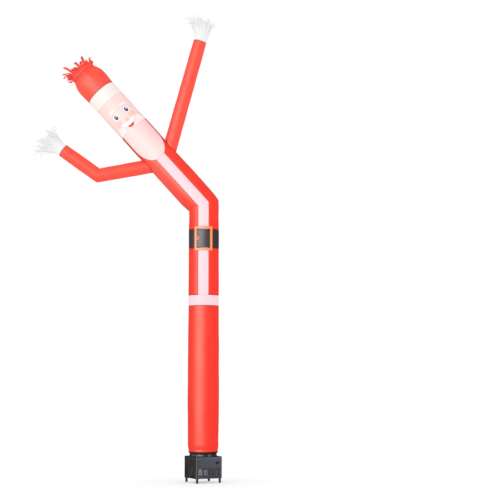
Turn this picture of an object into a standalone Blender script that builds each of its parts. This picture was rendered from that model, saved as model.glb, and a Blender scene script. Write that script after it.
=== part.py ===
"""Inflatable air dancer with its blower.

A nylon tube figure stands on a small box blower: a red leg tube, a white band, a red coat with a
white front stripe, a belt with a buckle, a leaning upper body with two sleeves, a beard, a face,
a hat band and a hat. Strands of cloth fringe the hat's mouth and both hands.

Metres, +Z up. The figure faces -Y and leans towards -X. The origin is the centre of the blower
housing's underside; the feet reach below it. Every tube is one of three limbs, each straight but
for one mitred bend, and a place on a limb is a station (metres along its axis from the bend), an
angle from its front (-Y) and a radius.
"""

import math
from collections import namedtuple

import bmesh
import bpy
from mathutils import Matrix, Vector

# --- Cloth: driving dimensions ---------------------------------------------------------------
CLOTH = 0.0012  # thickness of every sheet
SEAM_GAP = 0.0006  # between two sheets that are sewn edge to edge
MITRE_GAP = 0.0008  # from a mitre to the sheets that meet in it, whose cut edges lean together
SEAM_TAPER = 0.018  # how far from a seam the tube is back at its full radius
SEAM_DRAW = 0.0016  # how much a seam draws the tube in
BODY_COLUMNS = 26

BEND_HEIGHT = 2.073  # height of the waist bend on the body's axis
LEAN = math.radians(42.2)
LOWER_RADIUS = 0.1155
WAIST_RADIUS = 0.1130  # between the belt and the waist bend
UPPER_RADIUS = 0.1215
WAIST_LOW = -0.100  # station where the tube is narrowest
WAIST_LENGTH = 0.110  # the radius changes over this far below and twice as far above it

# Seams, as heights on the upright part of the body
HEM_BAND_BOTTOM = 1.300
HEM_BAND_TOP = 1.378
BELT_BOTTOM = 1.738
BELT_TOP = 1.880

# Seams, as stations on the leaning part of the body
CHIN_SEAM = 0.805
HAT_BAND_BOTTOM = 1.085
HAT_BAND_TOP = 1.193
HAT_TOP = 1.386

STRIPE_HALF_WIDTH = 0.0395
BEARD_HALF_WIDTH = 0.112
BEARD_ROUND_TOP = 0.645  # station where the beard's round bottom edge starts
BEARD_ROUND_LENGTH = 0.160

BUCKLE_HALF_WIDTH = 0.068
BUCKLE_BAR = 0.018
BUCKLE_OVERLAP = 0.021  # above and below the belt
BUCKLE_STAND_OFF = 0.0010
PRONG_LENGTH = 0.026
PRONG_HEIGHT = 0.022

SHOULDER = 0.444  # station where both sleeves' axes meet the body's axis
SLEEVE_COLUMNS = 18
SLEEVE_ROOT_RADIUS = 0.0550
SLEEVE_CUFF_RADIUS = 0.0508
RAISED_LENGTH = 0.995
RAISED_HEADING = math.radians(-15.3)
UPPER_ARM_LENGTH = 0.529
FOREARM_LENGTH = 0.333
UPPER_ARM_HEADING = math.radians(100.2)
FOREARM_HEADING = math.radians(54.4)

# --- Blower: driving dimensions --------------------------------------------------------------
HOUSING_TURN = math.radians(27.6)
HOUSING_SIDE = 0.217
HOUSING_HEIGHT = 0.163
HOUSING_WALL = 0.003
HOUSING_CORNER = 0.012
HOUSING_TOP_EDGE = 0.005
FIT_GAP = 0.0003  # between two hard pieces that touch
FOOT_HEIGHT = 0.034
FOOT_RADIUS = 0.0090
FOOT_OFFSET = 0.094  # of a foot's axis from the housing's two middle planes
PLATE_CORNER_CUT = 0.170  # x + y at the base plate's slanted corner edges
VENT_PITCH = 0.020
VENT_ROW_PITCH = 0.0175
VENT_ROWS = 4
VENT_LOWEST = 0.0165  # height of the lowest row's middle
VENT_HALF_WIDTH = 0.0062
VENT_HALF_HEIGHT = 0.0078
VENT_SLANT = 0.0045
VENT_FIRST = 0.0135  # from a face's middle to the nearest vents' middle line
DUCT_STEPS = 36
THROAT_RADIUS = 0.0925
LIP_RADIUS = 0.1065
LIP_LOW = 0.1900
LIP_TOP = 0.2145
FLANGE_RADIUS = 0.1048
GROOVE_RADIUS = 0.0975
THROAT_BOTTOM = 0.099
GUARD_HEIGHT = 0.1385
GUARD_WIRE = 0.002
MOTOR_RADIUS = 0.044
MOTOR_BOTTOM = 0.066
MOTOR_TOP = 0.095
MOTOR_POST_RADIUS = 0.008
MOTOR_FOOT_RADIUS = 0.085
MOTOR_FOOT_THICKNESS = 0.0065
SHAFT_RADIUS = 0.004
SHAFT_TOP = 0.116
FAN_RADIUS = 0.086
FAN_BLADES = 5
SWITCH_X = 0.067
SWITCH_Z = 0.116
SWITCH_WIDTH = 0.025
SWITCH_HEIGHT = 0.019
SWITCH_OPENING_X = 0.0194
SWITCH_OPENING_Z = 0.0132
ROCKER_THROW = math.radians(12)  # each way from the rocker's middle position
INLET_X = -0.066
INLET_Z = 0.108

Limb = namedtuple("Limb", "corner heading_before heading_after reach")
BODY = Limb((0.0, BEND_HEIGHT), 0.0, LEAN, 0.16)


def heading_vector(heading):
    """Unit vector at this heading: 0 is up, and it grows towards -X."""
    return Vector((-math.sin(heading), 0.0, math.cos(heading)))


def side_vector(heading):
    """Unit vector across a limb in the XZ plane; +X when the heading is 0."""
    return Vector((math.cos(heading), 0.0, math.sin(heading)))


def limb_point(limb, station, angle, radius):
    """Place on a limb. Near the bend the rows turn until, at station 0, they lie in the mitre."""
    heading = limb.heading_before if station < 0 else limb.heading_after
    across = radius * math.sin(angle)
    turn = max(0.0, 1.0 - abs(station) / limb.reach)
    half_bend = (limb.heading_after - limb.heading_before) / 2
    shift = turn * across * math.tan(half_bend)
    along = station + shift if station < 0 else station - shift
    corner = Vector((limb.corner[0], 0.0, limb.corner[1]))
    in_front = Vector((0.0, -radius * math.cos(angle), 0.0))
    return corner + heading_vector(heading) * along + side_vector(heading) * across + in_front


SHOULDER_POINT = limb_point(BODY, SHOULDER, 0.0, 0.0)
ELBOW_POINT = SHOULDER_POINT + heading_vector(UPPER_ARM_HEADING) * UPPER_ARM_LENGTH
RAISED_ARM = Limb((SHOULDER_POINT.x, SHOULDER_POINT.z), RAISED_HEADING, RAISED_HEADING, 1.0)
BENT_ARM = Limb((ELBOW_POINT.x, ELBOW_POINT.z), UPPER_ARM_HEADING, FOREARM_HEADING, 0.09)

RED = ("nylon red", (0.86, 0.055, 0.035), 0.55, 0.0)
WHITE = ("nylon white", (0.93, 0.86, 0.86), 0.60, 0.0)
SKIN = ("nylon skin", (0.93, 0.70, 0.62), 0.60, 0.0)
BLACK = ("nylon black", (0.045, 0.04, 0.05), 0.50, 0.0)
GOLD = ("nylon gold", (0.95, 0.48, 0.12), 0.45, 0.0)
STRAND_WHITE = ("strand white", (0.88, 0.88, 0.87), 0.55, 0.0)
HOUSING_BLACK = ("housing black", (0.035, 0.037, 0.040), 0.45, 0.0)
DUCT_BLACK = ("duct black", (0.030, 0.032, 0.035), 0.35, 0.0)
SWITCH_BLACK = ("switch black", (0.012, 0.012, 0.014), 0.30, 0.0)
RUBBER = ("foot rubber", (0.020, 0.020, 0.020), 0.80, 0.0)
STEEL = ("motor steel", (0.45, 0.46, 0.47), 0.40, 0.9)
WIRE = ("guard wire", (0.55, 0.56, 0.57), 0.35, 0.9)
FAN_GREY = ("fan grey", (0.10, 0.10, 0.11), 0.50, 0.0)
LAMP_SILVER = ("lamp silver", (0.75, 0.76, 0.78), 0.30, 0.8)
LENS_WHITE = ("lens white", (0.95, 0.95, 0.95), 0.20, 0.0)


# --- Helpers ---------------------------------------------------------------------------------
def clear_scene():
    for found in list(bpy.data.objects):
        bpy.data.objects.remove(found, do_unlink=True)


def new_collection(name):
    made = bpy.data.collections.new(name)
    bpy.context.scene.collection.children.link(made)
    return made


def material(spec):
    name, colour, roughness, metallic = spec
    found = bpy.data.materials.get(name)
    if found:
        return found
    made = bpy.data.materials.new(name)
    made.use_nodes = True
    shader = made.node_tree.nodes["Principled BSDF"]
    shader.inputs["Base Color"].default_value = (*colour, 1.0)
    shader.inputs["Roughness"].default_value = roughness
    shader.inputs["Metallic"].default_value = metallic
    return made


def object_from_bmesh(name, bm, spec=None, collection="air_dancer"):
    mesh = bpy.data.meshes.new(name)
    bm.to_mesh(mesh)
    bm.free()
    made = bpy.data.objects.new(name, mesh)
    bpy.data.collections[collection].objects.link(made)
    if spec:
        mesh.materials.append(material(spec))
        mesh.shade_smooth()
        mesh.set_sharp_from_angle(angle=math.radians(35))
    return made


def make_cutter(name, bm):
    made = object_from_bmesh(name, bm, collection="cutters")
    made.hide_render = True
    made.display_type = "WIRE"
    return made


def add_solidify(target, thickness):
    """Thickens an open surface to the inside, away from its normals."""
    wall = target.modifiers.new("thickness", "SOLIDIFY")
    wall.thickness = thickness
    wall.offset = -1.0
    wall.use_even_offset = True


def add_boolean(target, other, operation):
    step = target.modifiers.new(other.name, "BOOLEAN")
    step.operation = operation
    step.object = other
    step.solver = "EXACT"


def sheet(name, spec, columns, rows, place, closed=False, keep=None, thickness=CLOTH):
    """A flat grid bent to shape: corner (i, j) moves to place(i, j). Cells with keep(i, j) false go."""
    bm = bmesh.new()
    bmesh.ops.create_grid(bm, x_segments=columns, y_segments=rows, size=1.0)
    cells = {}
    for face in bm.faces:
        middle = face.calc_center_median()
        i = int((middle.x + 1) / 2 * columns)
        j = int((middle.y + 1) / 2 * rows)
        cells[face] = (i, j)
    for corner in bm.verts:
        i = round((corner.co.x + 1) / 2 * columns)
        j = round((corner.co.y + 1) / 2 * rows)
        corner.co = place(i, j)
    if keep:
        dropped = [face for face, cell in cells.items() if not keep(*cell)]
        bmesh.ops.delete(bm, geom=dropped, context="FACES")
    if closed:
        bmesh.ops.remove_doubles(bm, verts=bm.verts, dist=1e-6)
    made = object_from_bmesh(name, bm, spec)
    add_solidify(made, thickness)
    return made


def turned(name, spec, profile, steps, closed=False, move=(0.0, 0.0, 0.0)):
    """A profile of (radius, height) pairs, run down its outer side, turned about the Z axis."""
    bm = bmesh.new()
    corners = [bm.verts.new((radius, 0.0, height)) for radius, height in profile]
    for first, second in zip(corners, corners[1:]):
        bm.edges.new((first, second))
    if closed:
        bm.edges.new((corners[-1], corners[0]))
    made = object_from_bmesh(name, bm, spec)
    screw = made.modifiers.new("turn", "SCREW")
    screw.steps = steps
    screw.render_steps = steps
    screw.use_merge_vertices = True
    screw.merge_threshold = 1e-6
    made.location = move
    return made


def prism(bm, outline, low, high, matrix=None):
    """Adds to bm a straight prism on an outline of (x, y), counter-clockwise, from low to high in z."""
    lower = [bm.verts.new((x, y, low)) for x, y in outline]
    bottom = bm.faces.new(list(reversed(lower)))
    raised = bmesh.ops.extrude_face_region(bm, geom=[bottom])
    upper = [part for part in raised["geom"] if isinstance(part, bmesh.types.BMVert)]
    bmesh.ops.translate(bm, verts=upper, vec=(0.0, 0.0, high - low))
    added = lower + upper
    bmesh.ops.recalc_face_normals(bm, faces=list({face for v in added for face in v.link_faces}))
    if matrix:
        bmesh.ops.transform(bm, matrix=matrix, verts=added)
    return added


# --- The body's cloth ------------------------------------------------------------------------
def smooth_step(value):
    value = min(1.0, max(0.0, value))
    return value * value * (3 - 2 * value)


def station_at(height):
    """Station on the body of a height on its upright part."""
    return height - BEND_HEIGHT


def body_radius(station):
    if station < WAIST_LOW:
        share = smooth_step((WAIST_LOW - station) / WAIST_LENGTH)
        return WAIST_RADIUS + (LOWER_RADIUS - WAIST_RADIUS) * share
    share = smooth_step((station - WAIST_LOW) / (2 * WAIST_LENGTH))
    return WAIST_RADIUS + (UPPER_RADIUS - WAIST_RADIUS) * share


# How the cloth departs from the plain mitred tube round the waist bend: a slightly pulled-in crease
# on the inner side, with a little spare cloth above and below it, and a rounded corner on the
# outer side.
WaistFold = namedtuple("WaistFold", "station inner outer")
WAIST_FOLDS = (
    WaistFold(-0.160, 0.0, 0.0),
    WaistFold(-0.085, 0.0, 0.0),
    WaistFold(-0.035, 0.0008, -0.0006),
    WaistFold(0.0, -0.0020, -0.0044),
    WaistFold(0.035, 0.0008, -0.0006),
    WaistFold(0.090, 0.0, 0.0),
    WaistFold(0.160, 0.0, 0.0),
)


def waist_fold(station, angle):
    side = math.sin(angle)
    for before, after in zip(WAIST_FOLDS, WAIST_FOLDS[1:]):
        if before.station <= station <= after.station:
            share = (station - before.station) / (after.station - before.station)
            inner = before.inner + (after.inner - before.inner) * share
            outer = before.outer + (after.outer - before.outer) * share
            return inner * max(0.0, -side) + outer * max(0.0, side)
    return 0.0


def body_point(station, angle, inset=0.0):
    radius = body_radius(station) - inset + waist_fold(station, angle)
    return limb_point(BODY, station, angle, radius)


def seam_rows(low, high, between=()):
    """Rows (station, inset) of a panel: its two seams, where the tube is full again, and between."""
    rows = [(low + SEAM_GAP / 2, SEAM_DRAW), (low + SEAM_TAPER, 0.0)]
    rows += [(station, 0.0) for station in between]
    rows += [(high - SEAM_TAPER, 0.0), (high - SEAM_GAP / 2, SEAM_DRAW)]
    return rows


def plain_rows(stations):
    return [(station, 0.0) for station in stations]


def ring_panel(name, spec, rows, columns=BODY_COLUMNS):
    """A sheet all round the body, sewn up at the back."""

    def place(i, j):
        station, inset = rows[j]
        return body_point(station, math.pi + 2 * math.pi * i / columns, inset)

    return sheet(name, spec, columns, len(rows) - 1, place, closed=True)


def front_half_angle(station):
    """Half the angle that the white front pieces take up at this station."""
    radius = body_radius(station)
    half_width = STRIPE_HALF_WIDTH
    if station > BEARD_ROUND_TOP:
        half_width = BEARD_HALF_WIDTH
    elif station > BEARD_ROUND_TOP - BEARD_ROUND_LENGTH:
        down = (BEARD_ROUND_TOP - station) / BEARD_ROUND_LENGTH
        half_width = max(half_width, BEARD_HALF_WIDTH * math.sqrt(1 - down * down))
    return math.asin(half_width / radius)


def front_panel(name, spec, rows, columns):
    """A sheet in the middle of the body's front."""

    def place(i, j):
        station, inset = rows[j]
        half = front_half_angle(station) - SEAM_GAP / body_radius(station)
        return body_point(station, half * (2 * i / columns - 1), inset)

    return sheet(name, spec, columns, len(rows) - 1, place)


def back_panel(name, spec, rows, columns):
    """A sheet round the sides and back of the body, open at the front."""

    def place(i, j):
        station, inset = rows[j]
        half = front_half_angle(station) + SEAM_GAP / body_radius(station)
        return body_point(station, half + (2 * math.pi - 2 * half) * i / columns, inset)

    return sheet(name, spec, columns, len(rows) - 1, place)


def beard_stations():
    """Stations of the rows that follow the beard's round bottom edge."""
    start = BEARD_ROUND_TOP - BEARD_ROUND_LENGTH
    stripe_share = STRIPE_HALF_WIDTH / BEARD_HALF_WIDTH
    first = BEARD_ROUND_TOP - BEARD_ROUND_LENGTH * math.sqrt(1 - stripe_share * stripe_share)
    shares = (0.0, 0.10, 0.25, 0.45, 0.70, 1.0)
    span = BEARD_ROUND_TOP - first
    assert first > start
    return [first + span * share for share in shares]


LegRow = namedtuple("LegRow", "height radius")
HEM_ROWS = (
    LegRow(LIP_LOW - 0.0070, LIP_RADIUS - 0.0036),
    LegRow(LIP_LOW + 0.0020, LIP_RADIUS + 0.0030),
    LegRow(LIP_TOP - 0.0010, LIP_RADIUS + 0.0034),
    LegRow(LIP_TOP + 0.0240, LOWER_RADIUS - 0.0008),
    LegRow(LIP_TOP + 0.0650, LOWER_RADIUS),
)
LEG_HEIGHTS = (0.44, 0.62, 0.84, 1.06, 1.20)


def make_leg():
    """The hem is drawn in under the duct's lip, and the tube is full a little above it."""
    rows = [(station_at(row.height), LOWER_RADIUS - row.radius) for row in HEM_ROWS]
    rows += [(station_at(height), 0.0) for height in LEG_HEIGHTS]
    rows += seam_rows(0.0, station_at(HEM_BAND_BOTTOM))[2:]
    ring_panel("leg", RED, rows)


def make_body_panels():
    """All panels but the leg and hat. The coat is three stretches that meet in the waist's mitre and
    across the sleeves' roots."""
    below_belt = seam_rows(station_at(HEM_BAND_TOP), station_at(BELT_BOTTOM), (station_at(1.55),))
    beard_edge = beard_stations()
    chest = [BEARD_ROUND_TOP + 0.075, CHIN_SEAM - SEAM_TAPER]
    waist = [-0.160, -0.085, -0.035]
    lean = [0.035, 0.090, 0.160, 0.260, 0.370]
    split = beard_edge[1]
    waist_rows = seam_rows(station_at(BELT_TOP), 1.0)[:2] + plain_rows(waist)
    chin_row = [(CHIN_SEAM - SEAM_GAP / 2, SEAM_DRAW)]
    beard_rows = plain_rows(beard_edge + chest) + chin_row
    stripe_rows = waist_rows + plain_rows([0.0, *lean, beard_edge[0] - SEAM_GAP])
    under_arm_rows = plain_rows([MITRE_GAP, *lean, beard_edge[0], split - SEAM_GAP / 2])
    over_arm_rows = plain_rows([split + SEAM_GAP / 2, *beard_edge[2:], *chest]) + chin_row
    ring_panel("hem_band", WHITE, seam_rows(station_at(HEM_BAND_BOTTOM), station_at(HEM_BAND_TOP)))
    back_panel("coat_skirt", RED, below_belt, BODY_COLUMNS - 3)
    front_panel("skirt_stripe", WHITE, below_belt, 3)
    ring_panel("belt", BLACK, seam_rows(station_at(BELT_BOTTOM), station_at(BELT_TOP)))
    back_panel("coat_waist", RED, waist_rows + plain_rows([-MITRE_GAP]), BODY_COLUMNS - 4)
    under_arms = back_panel("coat_lean", RED, under_arm_rows, BODY_COLUMNS - 4)
    over_arms = back_panel("coat", RED, over_arm_rows, BODY_COLUMNS - 4)
    front_panel("coat_stripe", WHITE, stripe_rows, 3)
    front_panel("beard", WHITE, beard_rows, 10)
    head_rows = seam_rows(CHIN_SEAM, HAT_BAND_BOTTOM, (0.90, 1.0))
    ring_panel("face", SKIN, head_rows)
    ring_panel("hat_band", WHITE, seam_rows(HAT_BAND_BOTTOM, HAT_BAND_TOP))
    return under_arms, over_arms


HatRow = namedtuple("HatRow", "station radius")
HAT_ROWS = (
    HatRow(HAT_BAND_TOP + SEAM_GAP / 2, UPPER_RADIUS - SEAM_DRAW),
    HatRow(1.215, 0.1228),
    HatRow(1.260, 0.1258),
    HatRow(1.300, 0.1262),
    HatRow(1.335, 0.1215),
    HatRow(1.362, 0.1120),
    HatRow(HAT_TOP, 0.1010),
)


def make_hat():
    def place(i, j):
        row = HAT_ROWS[j]
        angle = math.pi + 2 * math.pi * i / BODY_COLUMNS
        return limb_point(BODY, row.station, angle, row.radius)

    sheet("hat", RED, BODY_COLUMNS, len(HAT_ROWS) - 1, place, closed=True)


def make_buckle():
    """A flat frame bent round the belt, with the prong's root on its left bar."""
    radius = LOWER_RADIUS + BUCKLE_STAND_OFF + CLOTH
    outer = math.asin(BUCKLE_HALF_WIDTH / LOWER_RADIUS)
    inner = math.asin((BUCKLE_HALF_WIDTH - BUCKLE_BAR) / LOWER_RADIUS)
    prong_end = math.asin((BUCKLE_HALF_WIDTH - BUCKLE_BAR - PRONG_LENGTH) / LOWER_RADIUS)
    angles = (-outer, -inner, -prong_end, -0.11, 0.11, prong_end, inner, outer)
    low = BELT_BOTTOM - BUCKLE_OVERLAP
    high = BELT_TOP + BUCKLE_OVERLAP
    middle = (BELT_BOTTOM + BELT_TOP) / 2
    prong = (middle - PRONG_HEIGHT / 2, middle + PRONG_HEIGHT / 2)
    heights = (low, low + BUCKLE_BAR, *prong, high - BUCKLE_BAR, high)
    last_column, last_row = len(angles) - 2, len(heights) - 2

    def place(i, j):
        return limb_point(BODY, station_at(heights[j]), angles[i], radius)

    def keep(i, j):
        in_frame = i in (0, last_column) or j in (0, last_row)
        in_prong = i == 1 and j == 2
        return in_frame or in_prong

    sheet("buckle", GOLD, len(angles) - 1, len(heights) - 1, place, keep=keep)


# --- Sleeves ---------------------------------------------------------------------------------
def sleeve_radius(share):
    return SLEEVE_ROOT_RADIUS + (SLEEVE_CUFF_RADIUS - SLEEVE_ROOT_RADIUS) * share


def sleeve(name, limb, rows):
    """A stretch of sleeve with rows (station, share of the sleeve's length, how far it is creased)."""

    def place(i, j):
        station, share, fold = rows[j]
        angle = math.pi + 2 * math.pi * i / SLEEVE_COLUMNS
        radius = sleeve_radius(share) - fold * abs(math.sin(angle))
        return limb_point(limb, station, angle, radius)

    return sheet(name, RED, SLEEVE_COLUMNS, len(rows) - 1, place, closed=True)


# How far the bent sleeve's sides are creased in, from its root to the elbow and on to its cuff
SleeveFold = namedtuple("SleeveFold", "station crease")
UPPER_ARM_FOLDS = (
    SleeveFold(-UPPER_ARM_LENGTH, 0.0),
    SleeveFold(-0.270, 0.0),
    SleeveFold(-0.160, 0.0),
    SleeveFold(-0.090, 0.0),
    SleeveFold(-0.030, -0.0012),
    SleeveFold(-MITRE_GAP, 0.0028),
)
FOREARM_FOLDS = (
    SleeveFold(MITRE_GAP, 0.0028),
    SleeveFold(0.030, -0.0012),
    SleeveFold(0.090, 0.0),
    SleeveFold(0.200, 0.0),
    SleeveFold(FOREARM_LENGTH, 0.0008),
)


def bent_rows(folds):
    whole = UPPER_ARM_LENGTH + FOREARM_LENGTH
    return [(fold.station, (fold.station + UPPER_ARM_LENGTH) / whole, fold.crease) for fold in folds]


def raised_rows(shares):
    return [(RAISED_LENGTH * share, share, 0.0) for share in shares]


def make_sleeves(coat_panels):
    """Both sleeves, each in two stretches: the bent one's meet in the elbow's mitre."""
    half_gap = SEAM_GAP / 2 / RAISED_LENGTH
    raised = sleeve("sleeve_raised", RAISED_ARM, raised_rows((0.0, 0.30, 0.50 - half_gap)))
    cuff_row = (RAISED_LENGTH, 1.0, 0.0008)
    sleeve("forearm_raised", RAISED_ARM, [*raised_rows((0.50 + half_gap, 0.70, 0.88)), cuff_row])
    bent = sleeve("sleeve_bent", BENT_ARM, bent_rows(UPPER_ARM_FOLDS))
    sleeve("forearm_bent", BENT_ARM, bent_rows(FOREARM_FOLDS))
    trim = make_cutter("body_plug", body_plug())
    for arm in (raised, bent):
        add_boolean(arm, trim, "DIFFERENCE")
    for name, heading in (("hole_raised", RAISED_HEADING), ("hole_bent", UPPER_ARM_HEADING)):
        hole = make_cutter(name, shoulder_hole(heading))
        for panel in coat_panels:
            add_boolean(panel, hole, "DIFFERENCE")


def body_plug():
    """A solid of the leaning body, a little larger than the cloth, that trims the sleeves' roots."""
    sides = 56
    bm = bmesh.new()
    radius = (UPPER_RADIUS + 0.0006) / math.cos(math.pi / sides)
    bmesh.ops.create_cone(
        bm, cap_ends=True, segments=sides, radius1=radius, radius2=radius, depth=0.56
    )
    middle = limb_point(BODY, SHOULDER + 0.03, 0.0, 0.0)
    turn = Matrix.Rotation(-LEAN, 4, "Y")
    bmesh.ops.transform(bm, matrix=Matrix.Translation(middle) @ turn, verts=bm.verts)
    return bm


def shoulder_hole(heading):
    """The round opening through the coat inside a sleeve's root."""
    bm = bmesh.new()
    length = 0.24
    radius = sleeve_radius(0.1) - CLOTH - 0.0015
    bmesh.ops.create_cone(
        bm, cap_ends=True, segments=SLEEVE_COLUMNS, radius1=radius, radius2=radius, depth=length
    )
    middle = SHOULDER_POINT + heading_vector(heading) * (length / 2)
    turn = Matrix.Rotation(-heading, 4, "Y")
    bmesh.ops.transform(bm, matrix=Matrix.Translation(middle) @ turn, verts=bm.verts)
    return bm


# --- Fringes ---------------------------------------------------------------------------------
# Each strand is an arc that turns away from the tube's axis. A fringe's turn and length vary by
# their shares from strand to strand, and its drift carries the tips across the limb, towards +X
# when the limb is upright.
FringeShape = namedtuple(
    "FringeShape", "limb station radius strands band length length_share turn turn_share drift"
)
HAT_FRINGE = FringeShape(
    BODY, HAT_TOP + SEAM_GAP, 0.0995, 28, 0.010, 0.105, 0.28, 0.62, 0.95, -0.016
)
RAISED_FRINGE = FringeShape(
    RAISED_ARM, RAISED_LENGTH + SEAM_GAP, 0.0490, 22, 0.012, 0.172, 0.14, 0.72, 0.80, -0.050
)
BENT_FRINGE = FringeShape(
    BENT_ARM, FOREARM_LENGTH + SEAM_GAP, 0.0490, 22, 0.012, 0.180, 0.16, 0.72, 0.80, -0.026
)
STRAND_SHARE = 0.78  # of the pitch that a strand's width takes
STRAND_ROWS = 4
STRAND_SWAY = 0.007
STRAND_TWIST = math.radians(50)  # of a strand's flat side at its tip


def uneven(index, seed):
    """A repeatable number from -1 to 1 for strand number index."""
    return math.sin(12.9898 * index + 78.233 * seed) * math.cos(4.1414 * index * (seed + 1))


def strand_point(shape, strand, side, along):
    """Place on one edge (side -1 or 1) of a strand, a share of the way from its root to its tip."""
    length = shape.length * (1 + shape.length_share * uneven(strand, 1.0))
    turn = shape.turn * (1 + shape.turn_share * uneven(strand, 2.0))
    angle = 2 * math.pi * (strand + STRAND_SHARE / 2) / shape.strands
    root_half_width = math.pi * STRAND_SHARE * shape.radius / shape.strands
    half_width = side * root_half_width
    twist = STRAND_TWIST * uneven(strand, 3.0) * along
    outward = shape.radius + length * (1 - math.cos(turn * along)) / turn
    sideways = half_width * math.cos(twist) + STRAND_SWAY * uneven(strand, 4.0) * along**2
    outward += half_width * math.sin(twist)
    station = shape.station + shape.band + length * math.sin(turn * along) / turn
    place = limb_point(shape.limb, station, angle + sideways / outward, outward)
    return place + side_vector(shape.limb.heading_after) * shape.drift * along**1.7


def fringe(name, spec, shape):
    """Strands that stand on a narrow strip round a tube's mouth and spread away from it."""
    columns = 2 * shape.strands

    def place(i, j):
        strand, edge = divmod(i, 2)
        if j > 1:
            return strand_point(shape, strand, 2 * edge - 1, (j - 1) / STRAND_ROWS)
        angle = 2 * math.pi * (strand + edge * STRAND_SHARE) / shape.strands
        return limb_point(shape.limb, shape.station + j * shape.band, angle, shape.radius)

    def keep(i, j):
        return j == 0 or i % 2 == 0

    sheet(name, spec, columns, 1 + STRAND_ROWS, place, closed=True, keep=keep)


# --- Blower ----------------------------------------------------------------------------------
def turn_blower(made):
    """Turns a piece that was made square to the axes with the blower, about the Z axis."""
    place = Matrix.Rotation(HOUSING_TURN, 4, "Z") @ Matrix.Translation(made.location)
    made.matrix_world = place


def vent_columns():
    """Middles of the vents along half a face; a strip at the middle of the face stays solid."""
    return [VENT_FIRST + VENT_PITCH * step for step in range(4)]


def vent_cutter(name, quarter_turns):
    """Slanted slots in staggered rows, long enough to pierce both opposite walls."""
    bm = bmesh.new()
    reach = HOUSING_SIDE
    stand = Matrix.Rotation(math.radians(90), 4, "X")
    turn = Matrix.Rotation(math.radians(90) * quarter_turns, 4, "Z")
    for row in range(VENT_ROWS):
        height = VENT_LOWEST + VENT_ROW_PITCH * row
        shift = VENT_PITCH / 4 * (1 if row % 2 else -1)
        for side in (-1, 1):
            for column in vent_columns():
                middle = side * column + shift
                top, slant = height + VENT_HALF_HEIGHT, VENT_SLANT
                bottom, half = height - VENT_HALF_HEIGHT, VENT_HALF_WIDTH
                outline = (
                    (middle - slant, bottom),
                    (middle + half, height - slant / 2),
                    (middle + slant, top),
                    (middle - half, height + slant / 2),
                )
                prism(bm, outline, -reach, reach, turn @ stand)
    return make_cutter(name, bm)


def housing_half(name, front, cutters):
    """One moulded half: a rounded box without a bottom, cut in two at the middle plane."""
    bm = bmesh.new()
    bmesh.ops.create_cube(bm, size=1.0)
    size = Matrix.Diagonal((HOUSING_SIDE, HOUSING_SIDE, HOUSING_HEIGHT, 1.0))
    lift = Matrix.Translation((0.0, 0.0, HOUSING_HEIGHT / 2))
    bmesh.ops.transform(bm, matrix=lift @ size, verts=bm.verts)
    upright = [e for e in bm.edges if abs(e.verts[0].co.z - e.verts[1].co.z) > 0.01]
    bmesh.ops.bevel(bm, geom=upright, offset=HOUSING_CORNER, segments=3, profile=0.5, affect="EDGES")
    bottom = [f for f in bm.faces if f.calc_center_median().z < 1e-5]
    bmesh.ops.delete(bm, geom=bottom, context="FACES")
    lid = [f for f in bm.faces if f.calc_center_median().z > HOUSING_HEIGHT - 1e-5]
    rim = list({edge for face in lid for edge in face.edges})
    bmesh.ops.bevel(bm, geom=rim, offset=HOUSING_TOP_EDGE, segments=2, profile=0.5, affect="EDGES")
    side = -1 if front else 1
    bmesh.ops.bisect_plane(
        bm,
        geom=bm.verts[:] + bm.edges[:] + bm.faces[:],
        plane_co=(0.0, side * FIT_GAP / 2, 0.0),
        plane_no=(0.0, -side, 0.0),
        clear_outer=True,
    )
    made = object_from_bmesh(name, bm, HOUSING_BLACK)
    add_solidify(made, HOUSING_WALL)
    gussets = make_cutter(name + "_gussets", corner_gussets(side))
    add_boolean(made, gussets, "UNION")
    for cutter in cutters:
        add_boolean(made, cutter, "DIFFERENCE")
    turn_blower(made)
    turn_blower(gussets)
    return made


def corner_gussets(side):
    """The flat corner plates of one half, which the feet are screwed under."""
    bm = bmesh.new()
    edge = HOUSING_SIDE / 2 - HOUSING_WALL / 2
    cut = PLATE_CORNER_CUT + 0.0008
    for way in (-1, 1):
        outline = [(cut - edge, edge), (edge, cut - edge), (edge, edge - 0.010), (edge - 0.010, edge)]
        outline = [(way * x, side * y) for x, y in outline]
        if way * side < 0:
            outline.reverse()
        outline.reverse()
        prism(bm, outline, 0.0, HOUSING_WALL)
    return bm


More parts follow.
